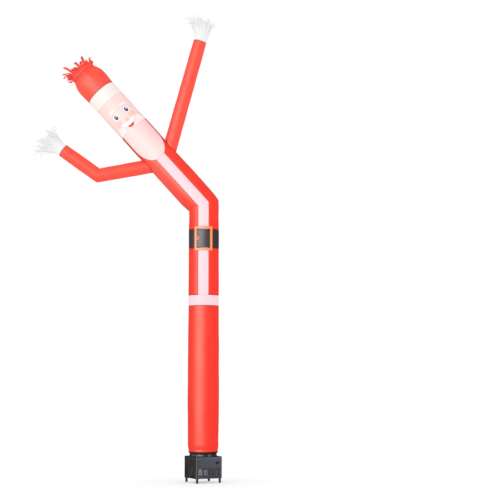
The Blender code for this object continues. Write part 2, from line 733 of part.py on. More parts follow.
def make_housing():
    vents = [vent_cutter("vents_front_back", 0), vent_cutter("vents_sides", 1)]
    mouth = bmesh.new()
    bmesh.ops.create_cone(
        mouth, cap_ends=True, segments=DUCT_STEPS, radius1=0.0965, radius2=0.0965, depth=0.04
    )
    bmesh.ops.translate(mouth, verts=mouth.verts, vec=(0.0, 0.0, HOUSING_HEIGHT))
    mouth_cutter = make_cutter("duct_mouth", mouth)
    pocket = bmesh.new()
    bmesh.ops.create_cube(pocket, size=1.0)
    size = Matrix.Diagonal((SWITCH_OPENING_X + 0.0010, 0.03, SWITCH_OPENING_Z + 0.0006, 1.0))
    place = Matrix.Translation((SWITCH_X, -HOUSING_SIDE / 2, SWITCH_Z))
    bmesh.ops.transform(pocket, matrix=place @ size, verts=pocket.verts)
    pocket_cutter = make_cutter("switch_pocket", pocket)
    inlet = bmesh.new()
    bmesh.ops.create_cone(
        inlet, cap_ends=True, segments=16, radius1=0.0070, radius2=0.0070, depth=0.03
    )
    lay = Matrix.Rotation(math.radians(90), 4, "X")
    place = Matrix.Translation((INLET_X, HOUSING_SIDE / 2, INLET_Z))
    bmesh.ops.transform(inlet, matrix=place @ lay, verts=inlet.verts)
    inlet_cutter = make_cutter("inlet_hole", inlet)
    for cutter in (*vents, mouth_cutter, pocket_cutter, inlet_cutter):
        turn_blower(cutter)
    housing_half("housing_front", True, [*vents, mouth_cutter, pocket_cutter])
    housing_half("housing_back", False, [*vents, mouth_cutter, inlet_cutter])


def make_base():
    """An eight-sided plate between the corner gussets, flush with the housing's lower edge."""
    edge = HOUSING_SIDE / 2 - HOUSING_WALL - FIT_GAP
    short = PLATE_CORNER_CUT - edge
    outline = [(edge, -short), (edge, short), (short, edge), (-short, edge)]
    outline += [(-edge, short), (-edge, -short), (-short, -edge), (short, -edge)]
    bm = bmesh.new()
    prism(bm, outline, 0.0, HOUSING_WALL)
    turn_blower(object_from_bmesh("base_plate", bm, HOUSING_BLACK))
    foot = [(0.0, -FIT_GAP), (FOOT_RADIUS, -FIT_GAP), (FOOT_RADIUS, 0.0015 - FOOT_HEIGHT)]
    foot += [(FOOT_RADIUS - 0.0015, -FOOT_HEIGHT), (0.0, -FOOT_HEIGHT)]
    corners = [(-1, -1), (1, -1), (1, 1), (-1, 1)]
    for number, (across, back) in enumerate(corners, 1):
        spot = (across * FOOT_OFFSET, back * FOOT_OFFSET, 0.0)
        turn_blower(turned(f"foot_{number}", RUBBER, foot, 16, move=spot))


def make_duct():
    """Flange on the housing, groove, and the lip that the cloth is drawn in round; throat below."""
    flange_low = HOUSING_HEIGHT + FIT_GAP
    profile = [
        (LIP_RADIUS - 0.0013, LIP_TOP),
        (LIP_RADIUS, LIP_TOP - 0.0013),
        (LIP_RADIUS, LIP_LOW + 0.0045),
        (LIP_RADIUS - 0.0030, LIP_LOW),
        (GROOVE_RADIUS, LIP_LOW - 0.0010),
        (GROOVE_RADIUS, flange_low + 0.0160),
        (FLANGE_RADIUS, flange_low + 0.0145),
        (FLANGE_RADIUS, flange_low),
        (THROAT_RADIUS + 0.003, flange_low),
        (THROAT_RADIUS + 0.003, THROAT_BOTTOM),
        (THROAT_RADIUS, THROAT_BOTTOM),
        (THROAT_RADIUS, GUARD_HEIGHT + 0.0045),
        (LIP_RADIUS - 0.0045, LIP_TOP - 0.0013),
        (LIP_RADIUS - 0.0032, LIP_TOP),
    ]
    turned("duct", DUCT_BLACK, profile, DUCT_STEPS, closed=True)


def make_guard():
    """Round wires and spokes across the throat, round a middle plate that carries the lamp."""
    rings = ((0.0120, 0.0200), (0.0360, 0.0380), (0.0540, 0.0560), (0.0720, 0.0740), (0.0895, 0.0915))
    radii = [radius for ring in rings for radius in ring]
    spokes = 6
    columns = 4 * spokes

    def place(i, j):
        radius = radii[j]
        spoke, part = divmod(i, 4)
        half = math.asin(GUARD_WIRE / 2 / radius)
        gap = 2 * math.pi / spokes - 2 * half
        angle = 2 * math.pi * spoke / spokes
        angle += -half if part == 0 else half + gap * (part - 1) / 3
        return Vector((radius * math.cos(angle), radius * math.sin(angle), GUARD_HEIGHT))

    def keep(i, j):
        return j % 2 == 0 or i % 4 == 0

    sheet("guard", WIRE, columns, len(radii) - 1, place, True, keep, GUARD_WIRE)


def make_lamp():
    """A round holder on the guard's middle plate, with a domed lens in it."""
    low = GUARD_HEIGHT + GUARD_WIRE + FIT_GAP
    holder = [(0.0200, low + 0.0090), (0.0225, low + 0.0080), (0.0225, low), (0.0130, low)]
    holder += [(0.0130, low + 0.0020), (0.0165, low + 0.0040), (0.0165, low + 0.0090)]
    turned("lamp", LAMP_SILVER, holder, 18, closed=True)
    dome = [(0.0, low + 0.0210), (0.0080, low + 0.0196), (0.0135, low + 0.0150)]
    dome += [(0.0160, low + 0.0085), (0.0160, low + 0.0046), (0.0, low + 0.0046)]
    turned("lamp_lens", LENS_WHITE, dome, 18)


def make_motor_and_fan():
    """A flat motor on a post with a heavy foot plate, its shaft in the fan's hub, and the fan."""
    base = HOUSING_WALL + FIT_GAP
    foot = base + MOTOR_FOOT_THICKNESS
    can = [(0.0, SHAFT_TOP), (SHAFT_RADIUS, SHAFT_TOP), (SHAFT_RADIUS, MOTOR_TOP)]
    can += [(0.034, MOTOR_TOP), (MOTOR_RADIUS, MOTOR_TOP - 0.006), (MOTOR_RADIUS, MOTOR_BOTTOM)]
    can += [(MOTOR_POST_RADIUS, MOTOR_BOTTOM), (MOTOR_POST_RADIUS, foot), (MOTOR_FOOT_RADIUS, foot)]
    can += [(MOTOR_FOOT_RADIUS, base), (0.0, base)]
    turned("motor", STEEL, can, 20)
    bore = SHAFT_RADIUS + 0.0005
    hub = [(0.0, 0.1270), (0.0240, 0.1270), (0.0300, 0.1210), (0.0300, 0.0990)]
    hub += [(bore, 0.0990), (bore, SHAFT_TOP + 0.0010), (0.0, SHAFT_TOP + 0.0010)]
    fan = turned("fan", FAN_GREY, hub, 24)
    blades = bmesh.new()
    for number in range(FAN_BLADES):
        blade(blades, 2 * math.pi * number / FAN_BLADES)
    blade_set = make_cutter("fan_blades", blades)
    add_boolean(fan, blade_set, "UNION")


def blade(bm, start):
    """Adds one pitched blade, thick enough to stand by itself, that begins inside the hub."""
    stations = ((0.026, 0.90), (0.050, 0.66), (FAN_RADIUS, 0.46))
    half_height = 0.0085
    half_thickness = 0.0010
    corners = []
    for radius, sweep in stations:
        ring = []
        for end in (-1, 1):
            angle = start + end * sweep / 2
            height = 0.1125 + end * half_height
            for face in (-1, 1):
                spot = (radius * math.cos(angle), radius * math.sin(angle))
                ring.append(bm.verts.new((*spot, height + face * half_thickness)))
        corners.append([ring[0], ring[2], ring[3], ring[1]])
    for inner, outer in zip(corners, corners[1:]):
        for k in range(4):
            after = (k + 1) % 4
            bm.faces.new((inner[k], inner[after], outer[after], outer[k]))
    bm.faces.new(list(reversed(corners[0])))
    bm.faces.new(corners[-1])
    added = [corner for ring in corners for corner in ring]
    bmesh.ops.recalc_face_normals(bm, faces=list({face for v in added for face in v.link_faces}))


# --- Switch and cord inlet -------------------------------------------------------------------
def rounded_rectangle(half_x, half_z, corner, arc_steps=3):
    """Counter-clockwise outline with round corners."""
    outline = []
    for quarter, (sx, sz) in enumerate(((1, 1), (-1, 1), (-1, -1), (1, -1))):
        for step in range(arc_steps + 1):
            angle = math.radians(90 * quarter + 90 * step / arc_steps)
            x = sx * (half_x - corner) + corner * math.cos(angle)
            z = sz * (half_z - corner) + corner * math.sin(angle)
            outline.append((x, z))
    return outline


def make_switch():
    """A bezel on the front face and a rocker in it that tilts about an upright axis."""
    face = -HOUSING_SIDE / 2
    stand = Matrix.Rotation(math.radians(90), 4, "X")
    bm = bmesh.new()
    outline = rounded_rectangle(SWITCH_WIDTH / 2, SWITCH_HEIGHT / 2, 0.0030)
    prism(bm, outline, FIT_GAP, 0.0024, stand)
    bezel = object_from_bmesh("switch_bezel", bm, SWITCH_BLACK)
    bezel.location = (SWITCH_X, face, SWITCH_Z)
    opening = bmesh.new()
    bmesh.ops.create_cube(opening, size=1.0)
    size = Matrix.Diagonal((SWITCH_OPENING_X, 0.02, SWITCH_OPENING_Z, 1.0))
    bmesh.ops.transform(opening, matrix=size, verts=opening.verts)
    cutter = make_cutter("bezel_opening", opening)
    cutter.location = bezel.location
    turn_blower(bezel)
    turn_blower(cutter)
    add_boolean(bezel, cutter, "DIFFERENCE")
    make_rocker()


def rocker_pivot():
    """The rocker's axis, just behind the housing's front face, before the blower is turned."""
    return Vector((SWITCH_X, -HOUSING_SIDE / 2 + 0.0006, SWITCH_Z))


def make_rocker():
    """A bar with a valley across its middle, at rest with the end near the housing's corner out."""
    half_x, half_z = 0.0086, 0.0061
    rise = half_x * math.tan(ROCKER_THROW)
    outline = [(-half_x, -0.0022 - rise), (0.0, -0.0022), (half_x, -0.0022 - rise)]
    outline += [(half_x - 0.0012, 0.0048), (-half_x + 0.0012, 0.0048)]
    bm = bmesh.new()
    prism(bm, outline, -half_z, half_z, Matrix.Rotation(-ROCKER_THROW, 4, "Z"))
    rocker = object_from_bmesh("rocker", bm, SWITCH_BLACK)
    rocker.location = rocker_pivot()
    turn_blower(rocker)


def make_cord_inlet():
    """A closed rubber gland in the housing's back wall, where a mains lead is led in."""
    profile = [(0.0, 0.0040), (0.0060, 0.0040), (0.0095, 0.0026), (0.0095, FIT_GAP)]
    profile += [(0.0066, FIT_GAP), (0.0066, -0.0060), (0.0, -0.0060)]
    gland = turned("cord_inlet", RUBBER, profile, 12)
    outward = Matrix.Rotation(math.radians(-90), 4, "X")
    place = Matrix.Translation((INLET_X, HOUSING_SIDE / 2, INLET_Z))
    gland.matrix_world = Matrix.Rotation(HOUSING_TURN, 4, "Z") @ place @ outward


def main():
    clear_scene()
    new_collection("air_dancer")
    new_collection("cutters")
    make_leg()
    coat = make_body_panels()
    make_buckle()
    make_hat()
    make_sleeves(coat)
    fringe("hat_fringe", RED, HAT_FRINGE)
    fringe("hand_raised", STRAND_WHITE, RAISED_FRINGE)
    fringe("hand_bent", STRAND_WHITE, BENT_FRINGE)
    make_housing()
    make_base()
    make_duct()
    make_guard()
    make_lamp()
    make_motor_and_fan()
    make_switch()
    make_cord_inlet()


main()
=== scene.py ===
"""Looks of an inflatable air dancer on its box blower.

The figure's nylon panels, fringes and buckle, the blower's housing, duct, feet, switch and gland,
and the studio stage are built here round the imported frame. Metres, +Z up; the figure faces -Y.
"""

import math
from collections import namedtuple

import bpy
import numpy as np
from bpy.props import FloatProperty, FloatVectorProperty, IntProperty, PointerProperty
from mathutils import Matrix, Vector


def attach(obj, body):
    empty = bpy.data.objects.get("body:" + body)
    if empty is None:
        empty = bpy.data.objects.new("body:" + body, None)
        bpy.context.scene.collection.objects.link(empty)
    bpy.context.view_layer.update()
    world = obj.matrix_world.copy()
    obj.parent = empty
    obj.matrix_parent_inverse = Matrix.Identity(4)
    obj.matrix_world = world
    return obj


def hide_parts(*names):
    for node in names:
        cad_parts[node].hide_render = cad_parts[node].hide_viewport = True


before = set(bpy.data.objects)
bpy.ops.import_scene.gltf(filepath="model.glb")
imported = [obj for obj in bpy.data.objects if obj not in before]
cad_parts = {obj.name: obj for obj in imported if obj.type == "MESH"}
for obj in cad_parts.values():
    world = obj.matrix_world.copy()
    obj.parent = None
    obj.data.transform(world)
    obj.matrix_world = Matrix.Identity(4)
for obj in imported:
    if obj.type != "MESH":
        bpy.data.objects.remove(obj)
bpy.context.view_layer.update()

bl_info = {
    "name": "Air dancer with blower",
    "version": (1, 0, 0),
    "blender": (4, 5, 0),
    "location": "3D View > Sidebar > Air Dancer",
    "description": "A sewn nylon tube figure on a moulded box blower, with its studio stage",
    "category": "Add Mesh",
}

TAU = 2 * math.pi

# --- The figure's measures ---
BEND_HEIGHT = 2.073  # height of the waist bend on the body's axis
LEAN = math.radians(42.2)
LOWER_RADIUS = 0.1155
WAIST_RADIUS = 0.1130
UPPER_RADIUS = 0.1215
WAIST_LOW = -0.100
WAIST_LENGTH = 0.110

HEM_BAND_BOTTOM = 1.300 - BEND_HEIGHT  # seams from here on are stations: metres from the bend
HEM_BAND_TOP = 1.378 - BEND_HEIGHT
BELT_BOTTOM = 1.738 - BEND_HEIGHT
BELT_TOP = 1.880 - BEND_HEIGHT
CHIN_SEAM = 0.805
HAT_BAND_BOTTOM = 1.085
HAT_BAND_TOP = 1.193
HAT_TOP = 1.386

STRIPE_HALF_WIDTH = 0.0395
BEARD_HALF_WIDTH = 0.112
BEARD_ROUND_TOP = 0.645
BEARD_ROUND_LENGTH = 0.160
SEAM_GAP = 0.0001

BUCKLE_HALF_WIDTH = 0.068
BUCKLE_BAR = 0.018
BUCKLE_OVERLAP = 0.021
PRONG_LENGTH = 0.026
PRONG_HEIGHT = 0.022

SHOULDER = 0.444
SLEEVE_ROOT_RADIUS = 0.0550
SLEEVE_CUFF_RADIUS = 0.0508
RAISED_LENGTH = 0.995
RAISED_HEADING = math.radians(-15.3)
UPPER_ARM_LENGTH = 0.529
FOREARM_LENGTH = 0.333
UPPER_ARM_HEADING = math.radians(100.2)
FOREARM_HEADING = math.radians(54.4)

# --- The blower's measures ---
HOUSING_TURN = math.radians(27.6)
HOUSING_SIDE = 0.217
HOUSING_HEIGHT = 0.163
HOUSING_CORNER = 0.012
HOUSING_TOP_EDGE = 0.005
MOUTH_RADIUS = 0.0965
FIT_GAP = 0.0003
FOOT_HEIGHT = 0.034
FOOT_RADIUS = 0.0090
FOOT_OFFSET = 0.094
THROAT_RADIUS = 0.0925
LIP_RADIUS = 0.1065
LIP_LOW = 0.1900
LIP_TOP = 0.2145
FLANGE_RADIUS = 0.1048
GROOVE_RADIUS = 0.0975
THROAT_BOTTOM = 0.099
GUARD_HEIGHT = 0.1385
SWITCH_X = 0.067
SWITCH_Z = 0.116
SWITCH_WIDTH = 0.025
SWITCH_HEIGHT = 0.019
SWITCH_OPENING_X = 0.0194
SWITCH_OPENING_Z = 0.0132
ROCKER_THROW = math.radians(12)
INLET_X = -0.066
INLET_Z = 0.108


# --- Settings ---
def colour(name, description, default):
    return FloatVectorProperty(
        name=name, description=description, default=default, subtype="COLOR", size=3, min=0, max=1
    )


def length(name, description, default):
    return FloatProperty(
        name=name, description=description, default=default, min=0.0, unit="LENGTH", precision=4
    )


def brightness(name, description, default):
    return FloatProperty(name=name, description=description, default=default, min=0)


def power(name, description, default):
    return FloatProperty(name=name, description=description, default=default, min=0, unit="POWER")


class ClothSettings(bpy.types.PropertyGroup):
    thickness: length("Cloth thickness", "Thickness of every nylon panel", 0.0007)
    seam_draw: length("Seam draw", "How much a seam across the tube draws it in", 0.0016)
    pucker: length("Pucker height", "Height of the puckers beside a seam across the tube", 0.0006)
    billow: length("Billow height", "Height of the wide, soft waves of the full tube", 0.0009)
    waist_crease: length("Waist crease", "Depth of the creases inside the waist's bend", 0.0024)
    elbow_crease: length("Elbow crease", "Depth of the creases inside the elbow's bend", 0.0022)
    hem_width: length("Hem width", "Width of the turned and stitched edge of a panel", 0.0062)
    stitch_pitch: length("Stitch length", "Distance from one stitch to the next", 0.0042)
    red: colour("Coat red", "Nylon of the leg, coat, sleeves and hat", (1.0, 0.012, 0.002))
    # The stripe's and beard's whites are partly white nylon and partly painted red light, a pink tinge
    # for the red panels' light coming through
    white: colour("Stripe white", "Nylon of the hem band and stripe", (0.95, 0.70, 0.755))
    beard: colour("Beard white", "Nylon of the beard", (0.97, 0.71, 0.71))
    trim: colour("Hat trim white", "Nylon of the hat's band", (0.93, 0.86, 0.83))
    skin: colour("Skin", "Nylon of the face", (0.95, 0.735, 0.69))
    black: colour("Belt black", "Nylon of the belt", (0.042, 0.026, 0.034))
    gold: colour("Buckle gold", "Print of the buckle", (0.95, 0.345, 0.105))
    # Painted highlight: a lighter red that stands for the broad highlight on the upper figure
    highlight_red: colour("Highlight red", "The same nylon high on the figure", (1.0, 0.084, 0.056))


class FringeSettings(bpy.types.PropertyGroup):
    thickness: length("Ribbon thickness", "Thickness of a fringe ribbon", 0.0005)
    cup: length("Ribbon cup", "How far a ribbon's middle stands out from its edges", 0.0016)
    tip_curl: FloatProperty(
        name="Tip curl", description="How far the tips roll outwards", default=1.9, subtype="ANGLE"
    )
    white: colour("Hand white", "Sheer strips of the hands", (0.60, 0.61, 0.60))


class BlowerSettings(bpy.types.PropertyGroup):
    wall: length("Wall", "Thickness of the moulded housing", 0.0024)
    vent_pitch: length("Vent pitch", "Distance from one vent slot to the next in a row", 0.0100)
    vent_row_pitch: length("Vent row pitch", "Height of one row of vent slots", 0.00875)
    vent_rows: IntProperty(name="Vent rows", description="Rows of slots", default=8, min=1)
    black: colour("Housing black", "Moulded plastic of the housing", (0.0095, 0.0093, 0.0098))
    duct_black: colour("Duct black", "Glossier plastic of the duct", (0.020, 0.020, 0.020))


class StageSettings(bpy.types.PropertyGroup):
    floor: colour("Floor", "Pale studio floor", (0.93, 0.93, 0.93))
    sky: brightness("Room light", "Strength of the white room round the part", 0.96)
    mirror: brightness("Room in reflections", "Its strength in reflections", 0.10)
    key: power("Key light", "Power of the tall softbox", 1250)
    side: power("Side light", "The same on the bent sleeve", 560)
    fill: power("Fill light", "Power of the small softbox", 44)
    warm: power("Warm light", "Power of the warm lamp at the right", 55)
    card: power("Blower card", "Power of the card by the blower", 24)
    left_card: power("Left card", "Power of the card at the left", 12)


SETTINGS = {
    "dancer_cloth": ClothSettings,
    "dancer_fringe": FringeSettings,
    "dancer_blower": BlowerSettings,
    "dancer_stage": StageSettings,
}


# --- Mesh helpers ---
def smooth_step(value):
    value = np.clip(value, 0.0, 1.0)
    return value * value * (3 - 2 * value)


def smooth_table(x, table):
    """A smooth curve through a table of places and values: a cubic between neighbouring places,
    whose slope at a place is that of the chord between the places on both sides of it."""
    places, values = np.array(table, float).T
    slopes = np.gradient(values, places)
    x = np.clip(x, places[0], places[-1])
    k = np.clip(np.searchsorted(places, x) - 1, 0, len(places) - 2)
    span = places[k + 1] - places[k]
    t = (x - places[k]) / span
    first = values[k] * (2 * t**3 - 3 * t**2 + 1) + slopes[k] * span * (t**3 - 2 * t**2 + t)
    second = values[k + 1] * (3 * t**2 - 2 * t**3) + slopes[k + 1] * span * (t**3 - t**2)
    return first + second


def grid_faces(rows, columns, closed, joined=False):
    """Corner numbers of the cells of a grid of points, row after row. In a closed grid the last
    column joins the first, and in a joined one the last row joins the first."""
    row = np.arange(rows if joined else rows - 1)[:, None]
    low, high = row * columns, (row + 1) % rows * columns
    left = np.arange(columns if closed else columns - 1)[None, :]
    right = (left + 1) % columns
    corners = (low + left, low + right, high + right, high + left)
    return np.stack(np.broadcast_arrays(*corners), -1).reshape(-1, 4)


def end_fan(centre, start, columns, forwards):
    """Triangles between a centre point and a closed row that starts at the point start."""
    here = np.arange(columns)
    after = (here + 1) % columns
    first, second = (here, after) if forwards else (after, here)
    return np.stack((np.full(columns, centre), start + first, start + second, np.full(columns, -1)), -1)


def new_object(name, points, faces, cloth_map=None, marks=None, sharp_angle=None):
    """A mesh object of points and faces of three or four corners (a last corner of -1 is none).
    cloth_map is the (across, along) place of every face corner, marks are values of points, and
    sharp_angle is the least angle, in degrees, between faces that meet at a sharp edge."""
    used = faces[faces >= 0]
    keep, places = np.unique(used, return_inverse=True)
    sizes = (faces >= 0).sum(1)
    mesh = bpy.data.meshes.new(name)
    mesh.vertices.add(len(keep))
    mesh.vertices.foreach_set("co", np.asarray(points, np.float32).reshape(-1, 3)[keep].ravel())
    mesh.loops.add(len(used))
    mesh.loops.foreach_set("vertex_index", places.astype(np.int32).ravel())
    mesh.polygons.add(len(faces))
    starts = np.concatenate(([0], np.cumsum(sizes)[:-1]))
    mesh.polygons.foreach_set("loop_start", starts.astype(np.int32))
    mesh.update(calc_edges=True)
    if cloth_map is not None:
        layer = mesh.uv_layers.new(name="cloth")
        flat = np.stack(cloth_map, -1)[faces >= 0]
        layer.data.foreach_set("uv", flat.astype(np.float32).ravel())
    for mark, values in (marks or {}).items():
        attribute = mesh.attributes.new(mark, "FLOAT", "POINT")
        attribute.data.foreach_set("value", np.asarray(values, np.float32).ravel()[keep])
    mesh.validate()
    mesh.shade_smooth()
    if sharp_angle:
        mesh.set_sharp_from_angle(angle=math.radians(sharp_angle))
    made = bpy.data.objects.new(name, mesh)
    bpy.context.scene.collection.objects.link(made)
    return made


def thicken(piece, thickness):
    """Gives a sheet its thickness on its inner side."""
    wall = piece.modifiers.new("thickness", "SOLIDIFY")
    wall.thickness = thickness
    wall.offset = -1.0
    wall.use_even_offset = True


def harden(piece, sharp_angle):
    """Makes the modifiers' result the piece's own mesh, smooth but for its sharp edges."""
    graph = bpy.context.evaluated_depsgraph_get()
    graph.update()
    mesh = bpy.data.meshes.new_from_object(piece.evaluated_get(graph))
    piece.modifiers.clear()
    piece.data = mesh
    mesh.shade_smooth()
    mesh.set_sharp_from_angle(angle=math.radians(sharp_angle))


def set_finish(piece, finish):
    piece.data.materials.clear()
    piece.data.materials.append(bpy.data.materials[finish])


def place_piece(piece, slot, finish, *nodes, body="dancer"):
    """Rides the piece on its body, in place of its nodes, with its finish."""
    set_finish(piece, finish)
    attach(piece, body)
    if nodes:
        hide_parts(*nodes)


def place_sheet(piece, slot, finish, nodes):
    """Places a sheet with its finish, in place of its nodes."""
    place_piece(piece, slot, finish, *nodes)


def turn_points(points, angle):
    """Points turned about the Z axis."""
    c, s = math.cos(angle), math.sin(angle)
    return points @ np.array(((c, s, 0.0), (-s, c, 0.0), (0.0, 0.0, 1.0)))


# --- Shader helpers ---
def add_node(tree, kind, inputs=None, **settings):
    """A node with its settings, and inputs given as values or as sockets to link."""
    made = tree.nodes.new(kind)
    for setting, value in settings.items():
        setattr(made, setting, value)
    for key, value in (inputs or {}).items():
        if isinstance(value, bpy.types.NodeSocket):
            tree.links.new(value, made.inputs[key])
        else:
            made.inputs[key].default_value = value
    return made


def maths(tree, operation, first, second=0.0, third=0.0, clamp=False):
    inputs = {0: first, 1: second, 2: third}
    return add_node(tree, "ShaderNodeMath", inputs, operation=operation, use_clamp=clamp).outputs[0]


def vector_maths(tree, operation, inputs):
    return add_node(tree, "ShaderNodeVectorMath", dict(enumerate(inputs)), operation=operation)


def split(tree, vector):
    """The sockets of a vector's three parts."""
    return add_node(tree, "ShaderNodeSeparateXYZ", {0: vector}).outputs


def noise(tree, vector, scale, detail, **settings):
    inputs = {"Vector": vector, "Scale": scale, "Detail": detail}
    return add_node(tree, "ShaderNodeTexNoise", inputs, **settings).outputs[0]


def blend_colour(tree, share, *colours):
    """The first of two colours, which are sockets or plain values, with a share of the second."""
    first, second = (c if isinstance(c, bpy.types.NodeSocket) else (*c, 1.0) for c in colours)
    mixed = add_node(tree, "ShaderNodeMix", {0: share, 6: first, 7: second}, data_type="RGBA")
    return mixed.outputs[2]


def tinted(tree, surface, tint, mask, most):
    """A surface with a tint over it, whose share is the mask times its most."""
    return blend_colour(tree, maths(tree, "MULTIPLY", mask, most), surface, tint)


def new_group(name, inputs, outputs):
    """A node group with named inputs, whose default is a number, three numbers or None for a plain
    vector, and with named outputs that are all numbers."""
    group = bpy.data.node_groups.new(name, "ShaderNodeTree")
    for label, default in inputs.items():
        kind = "NodeSocketFloat" if isinstance(default, float) else "NodeSocketVector"
        socket = group.interface.new_socket(label, in_out="INPUT", socket_type=kind)
        if default is not None:
            socket.default_value = default
    for label in outputs:
        group.interface.new_socket(label, in_out="OUTPUT", socket_type="NodeSocketFloat")
    given, result = group.nodes.new("NodeGroupInput"), group.nodes.new("NodeGroupOutput")
    return group, given.outputs, result.inputs


def use_group(tree, name, inputs):
    """The outputs of a node group in a tree."""
    return add_node(tree, "ShaderNodeGroup", inputs, node_tree=bpy.data.node_groups[name]).outputs


def make_weave_group():
    """Plain weave: two sets of threads, each a row of rounded ridges, that pass over and under."""
    inputs = {"Vector": None, "Thread pitch": 0.001}
    group, given, result = new_group("plain weave", inputs, ("Height",))
    parts = split(group, given["Vector"])
    half_turns = maths(group, "DIVIDE", math.pi, given["Thread pitch"])
    warp = maths(group, "SINE", maths(group, "MULTIPLY", parts[0], half_turns))
    weft = maths(group, "SINE", maths(group, "MULTIPLY", parts[1], half_turns))
    over = maths(group, "MULTIPLY", warp, weft)
    group.links.new(maths(group, "MULTIPLY_ADD", over, 0.5, 0.5), result["Height"])


def make_mottle_group():
    """Uneven dye and fine crinkles, from noise in the object's own metres."""
    inputs = {"Vector": None, "Patch": 3.0, "Crinkle": 24.0}
    group, given, result = new_group("dye and crinkle", inputs, ("Shade", "Height"))
    patches = noise(group, given["Vector"], given["Patch"], 3.0)
    crinkles = noise(group, given["Vector"], given["Crinkle"], 4.0, noise_type="RIDGED_MULTIFRACTAL")
    group.links.new(patches, result["Shade"])
    group.links.new(crinkles, result["Height"])


STITCH_ROW = 0.72  # share of the hem's width from the edge to its row of stitches
THREAD_WIDTH = 0.0005  # half the width of the thread's soft line
STITCH_GAP = 0.09  # share of a stitch's length that is under the cloth, at each end
HEM_STEP = 0.0012  # width of the step where the hem ends
STITCH_SHARPNESS = 14.0


def make_stitch_group():
    """A row of stitches a set distance in from an edge, and the doubled hem between them."""
    inputs = {"Edge": 1.0, "Along": 0.0, "Hem width": 0.005, "Stitch length": 0.004}
    group, given, result = new_group("stitched edge", inputs, ("Thread", "Hem"))
    edge, hem = given["Edge"], given["Hem width"]
    row = maths(group, "MULTIPLY", hem, STITCH_ROW)
    off = maths(group, "ABSOLUTE", maths(group, "SUBTRACT", edge, row))
    band = maths(group, "SUBTRACT", 1.0, maths(group, "DIVIDE", off, THREAD_WIDTH), clamp=True)
    step = maths(group, "DIVIDE", given["Along"], given["Stitch length"])
    dash = maths(group, "SUBTRACT", maths(group, "PINGPONG", step, 0.5), STITCH_GAP)
    dash = maths(group, "MULTIPLY", dash, STITCH_SHARPNESS, clamp=True)
    group.links.new(maths(group, "MULTIPLY", band, dash), result["Thread"])
    fold = maths(group, "DIVIDE", maths(group, "SUBTRACT", hem, edge), HEM_STEP)
    group.links.new(maths(group, "ADD", fold, 0.5, clamp=True), result["Hem"])


def make_oval_group():
    """A printed oval: 1 inside, 0 outside, with a soft rim."""
    inputs = {"Vector": None, "Centre": (0.0,) * 3, "Size": (1.0,) * 3, "Turn": 0.0}
    inputs["Edge strength"] = 12.0
    group, given, result = new_group("printed oval", inputs, ("Mask",))
    from_centre = vector_maths(group, "SUBTRACT", (given["Vector"], given["Centre"]))
    inputs = {"Vector": from_centre.outputs[0], "Angle": given["Turn"]}
    turned = add_node(group, "ShaderNodeVectorRotate", inputs, rotation_type="Z_AXIS")
    scaled = vector_maths(group, "DIVIDE", (turned.outputs[0], given["Size"]))
    size = vector_maths(group, "LENGTH", (scaled.outputs[0],)).outputs["Value"]
    inside = maths(group, "SUBTRACT", 1.0, size)
    mask = maths(group, "MULTIPLY_ADD", inside, given["Edge strength"], 0.5, clamp=True)
    group.links.new(mask, result["Mask"])


def make_grain_group():
    """Fine moulded grain with a little dust, from noise in the object's own metres."""
    inputs = {"Vector": None, "Grain": 900.0}
    group, given, result = new_group("moulded grain", inputs, ("Height", "Dust"))
    group.links.new(noise(group, given["Vector"], given["Grain"], 2.0), result["Height"])
    dust = maths(group, "SUBTRACT", noise(group, given["Vector"], DUST_SCALE, 5.0), 0.5)
    group.links.new(maths(group, "MULTIPLY", dust, DUST_CONTRAST, clamp=True), result["Dust"])


def new_material(name, roughness=0.5, **sockets):
    """The tree and the shader of a new material, whose shader has these plain values."""
    made = bpy.data.materials.new(name)
    made.use_nodes = True
    shader = made.node_tree.nodes["Principled BSDF"]
    shader.inputs["Roughness"].default_value = roughness
    for socket, value in sockets.items():
        shader.inputs[socket.replace("_", " ")].default_value = value
    return made.node_tree, shader


def link_finish(tree, shader, surface, rough, normal):
    """Links a finish's colour, roughness and normal to its shader."""
    for socket, value in (("Base Color", surface), ("Roughness", rough), ("Normal", normal)):
        tree.links.new(value, shader.inputs[socket])


def object_place(tree):
    return tree.nodes.new("ShaderNodeTexCoord").outputs["Object"]


def point_mark(tree, name):
    return add_node(tree, "ShaderNodeAttribute", attribute_name=name).outputs["Fac"]


def bump(tree, height, distance, strength=1.0, normal=None):
    inputs = {"Height": height, "Distance": distance, "Strength": strength}
    if normal is not None:
        inputs["Normal"] = normal
    return add_node(tree, "ShaderNodeBump", inputs).outputs[0]


def scaled_colour(value, factor):
    return tuple(min(1.0, channel * factor) for channel in value)


# --- Finishes ---
RED_SHINE = (1.0, 0.99, 0.78)  # the coating's reflections are a little warm on red
CLOTH_ROUGHNESS = 0.50
CLOTH_UNEVEN = 0.16  # how much that roughness varies
DYE_RANGE = (0.93, 1.05)  # shares of its tint in a cloth's darker and lighter patches
THREAD_SHADE = 0.12
SIDE_HEM = 0.5  # strength of the hem beside a side seam
# Depths and strengths of the weave, crinkles and sewn edges, and the shares that raise an edge
WEAVE_BUMP = (0.00003, 1.0)
CRINKLE_BUMP = (0.0007, 0.35)
EDGE_BUMP = (0.0009, 0.8)
HEM_RISE = 0.5
THREAD_RISE = 0.6
HEM_SHADOW = (0.05, 0.01, 0.01)  # painted shade that the hems and the stitches darken towards
STITCH_SHADOW = (0.10, 0.02, 0.02)
# painted shade under the leg's drawn-in lower edge
LEG_HEM_SHADE = (0.030, 0.004, 0.004)
BEARD_SIDE_SHADE = (0.36, 0.008, 0.016)  # painted shade on the coat beside the beard
# Painted light on the beard: creamy on its left, pink on its right from the red coat's bounce
BEARD_LIT_CREAM = (0.98, 0.83, 0.76)
BEARD_BOUNCE_PINK = (0.98, 0.65, 0.65)
RIM_TINT = (0.82, 0.130, 0.026)  # the rims of the buckle's bars
DUST_TINT = (0.09, 0.09, 0.09)
DUST_SCALE = 17.0  # patches of dust to a metre
DUST_CONTRAST = 2.4

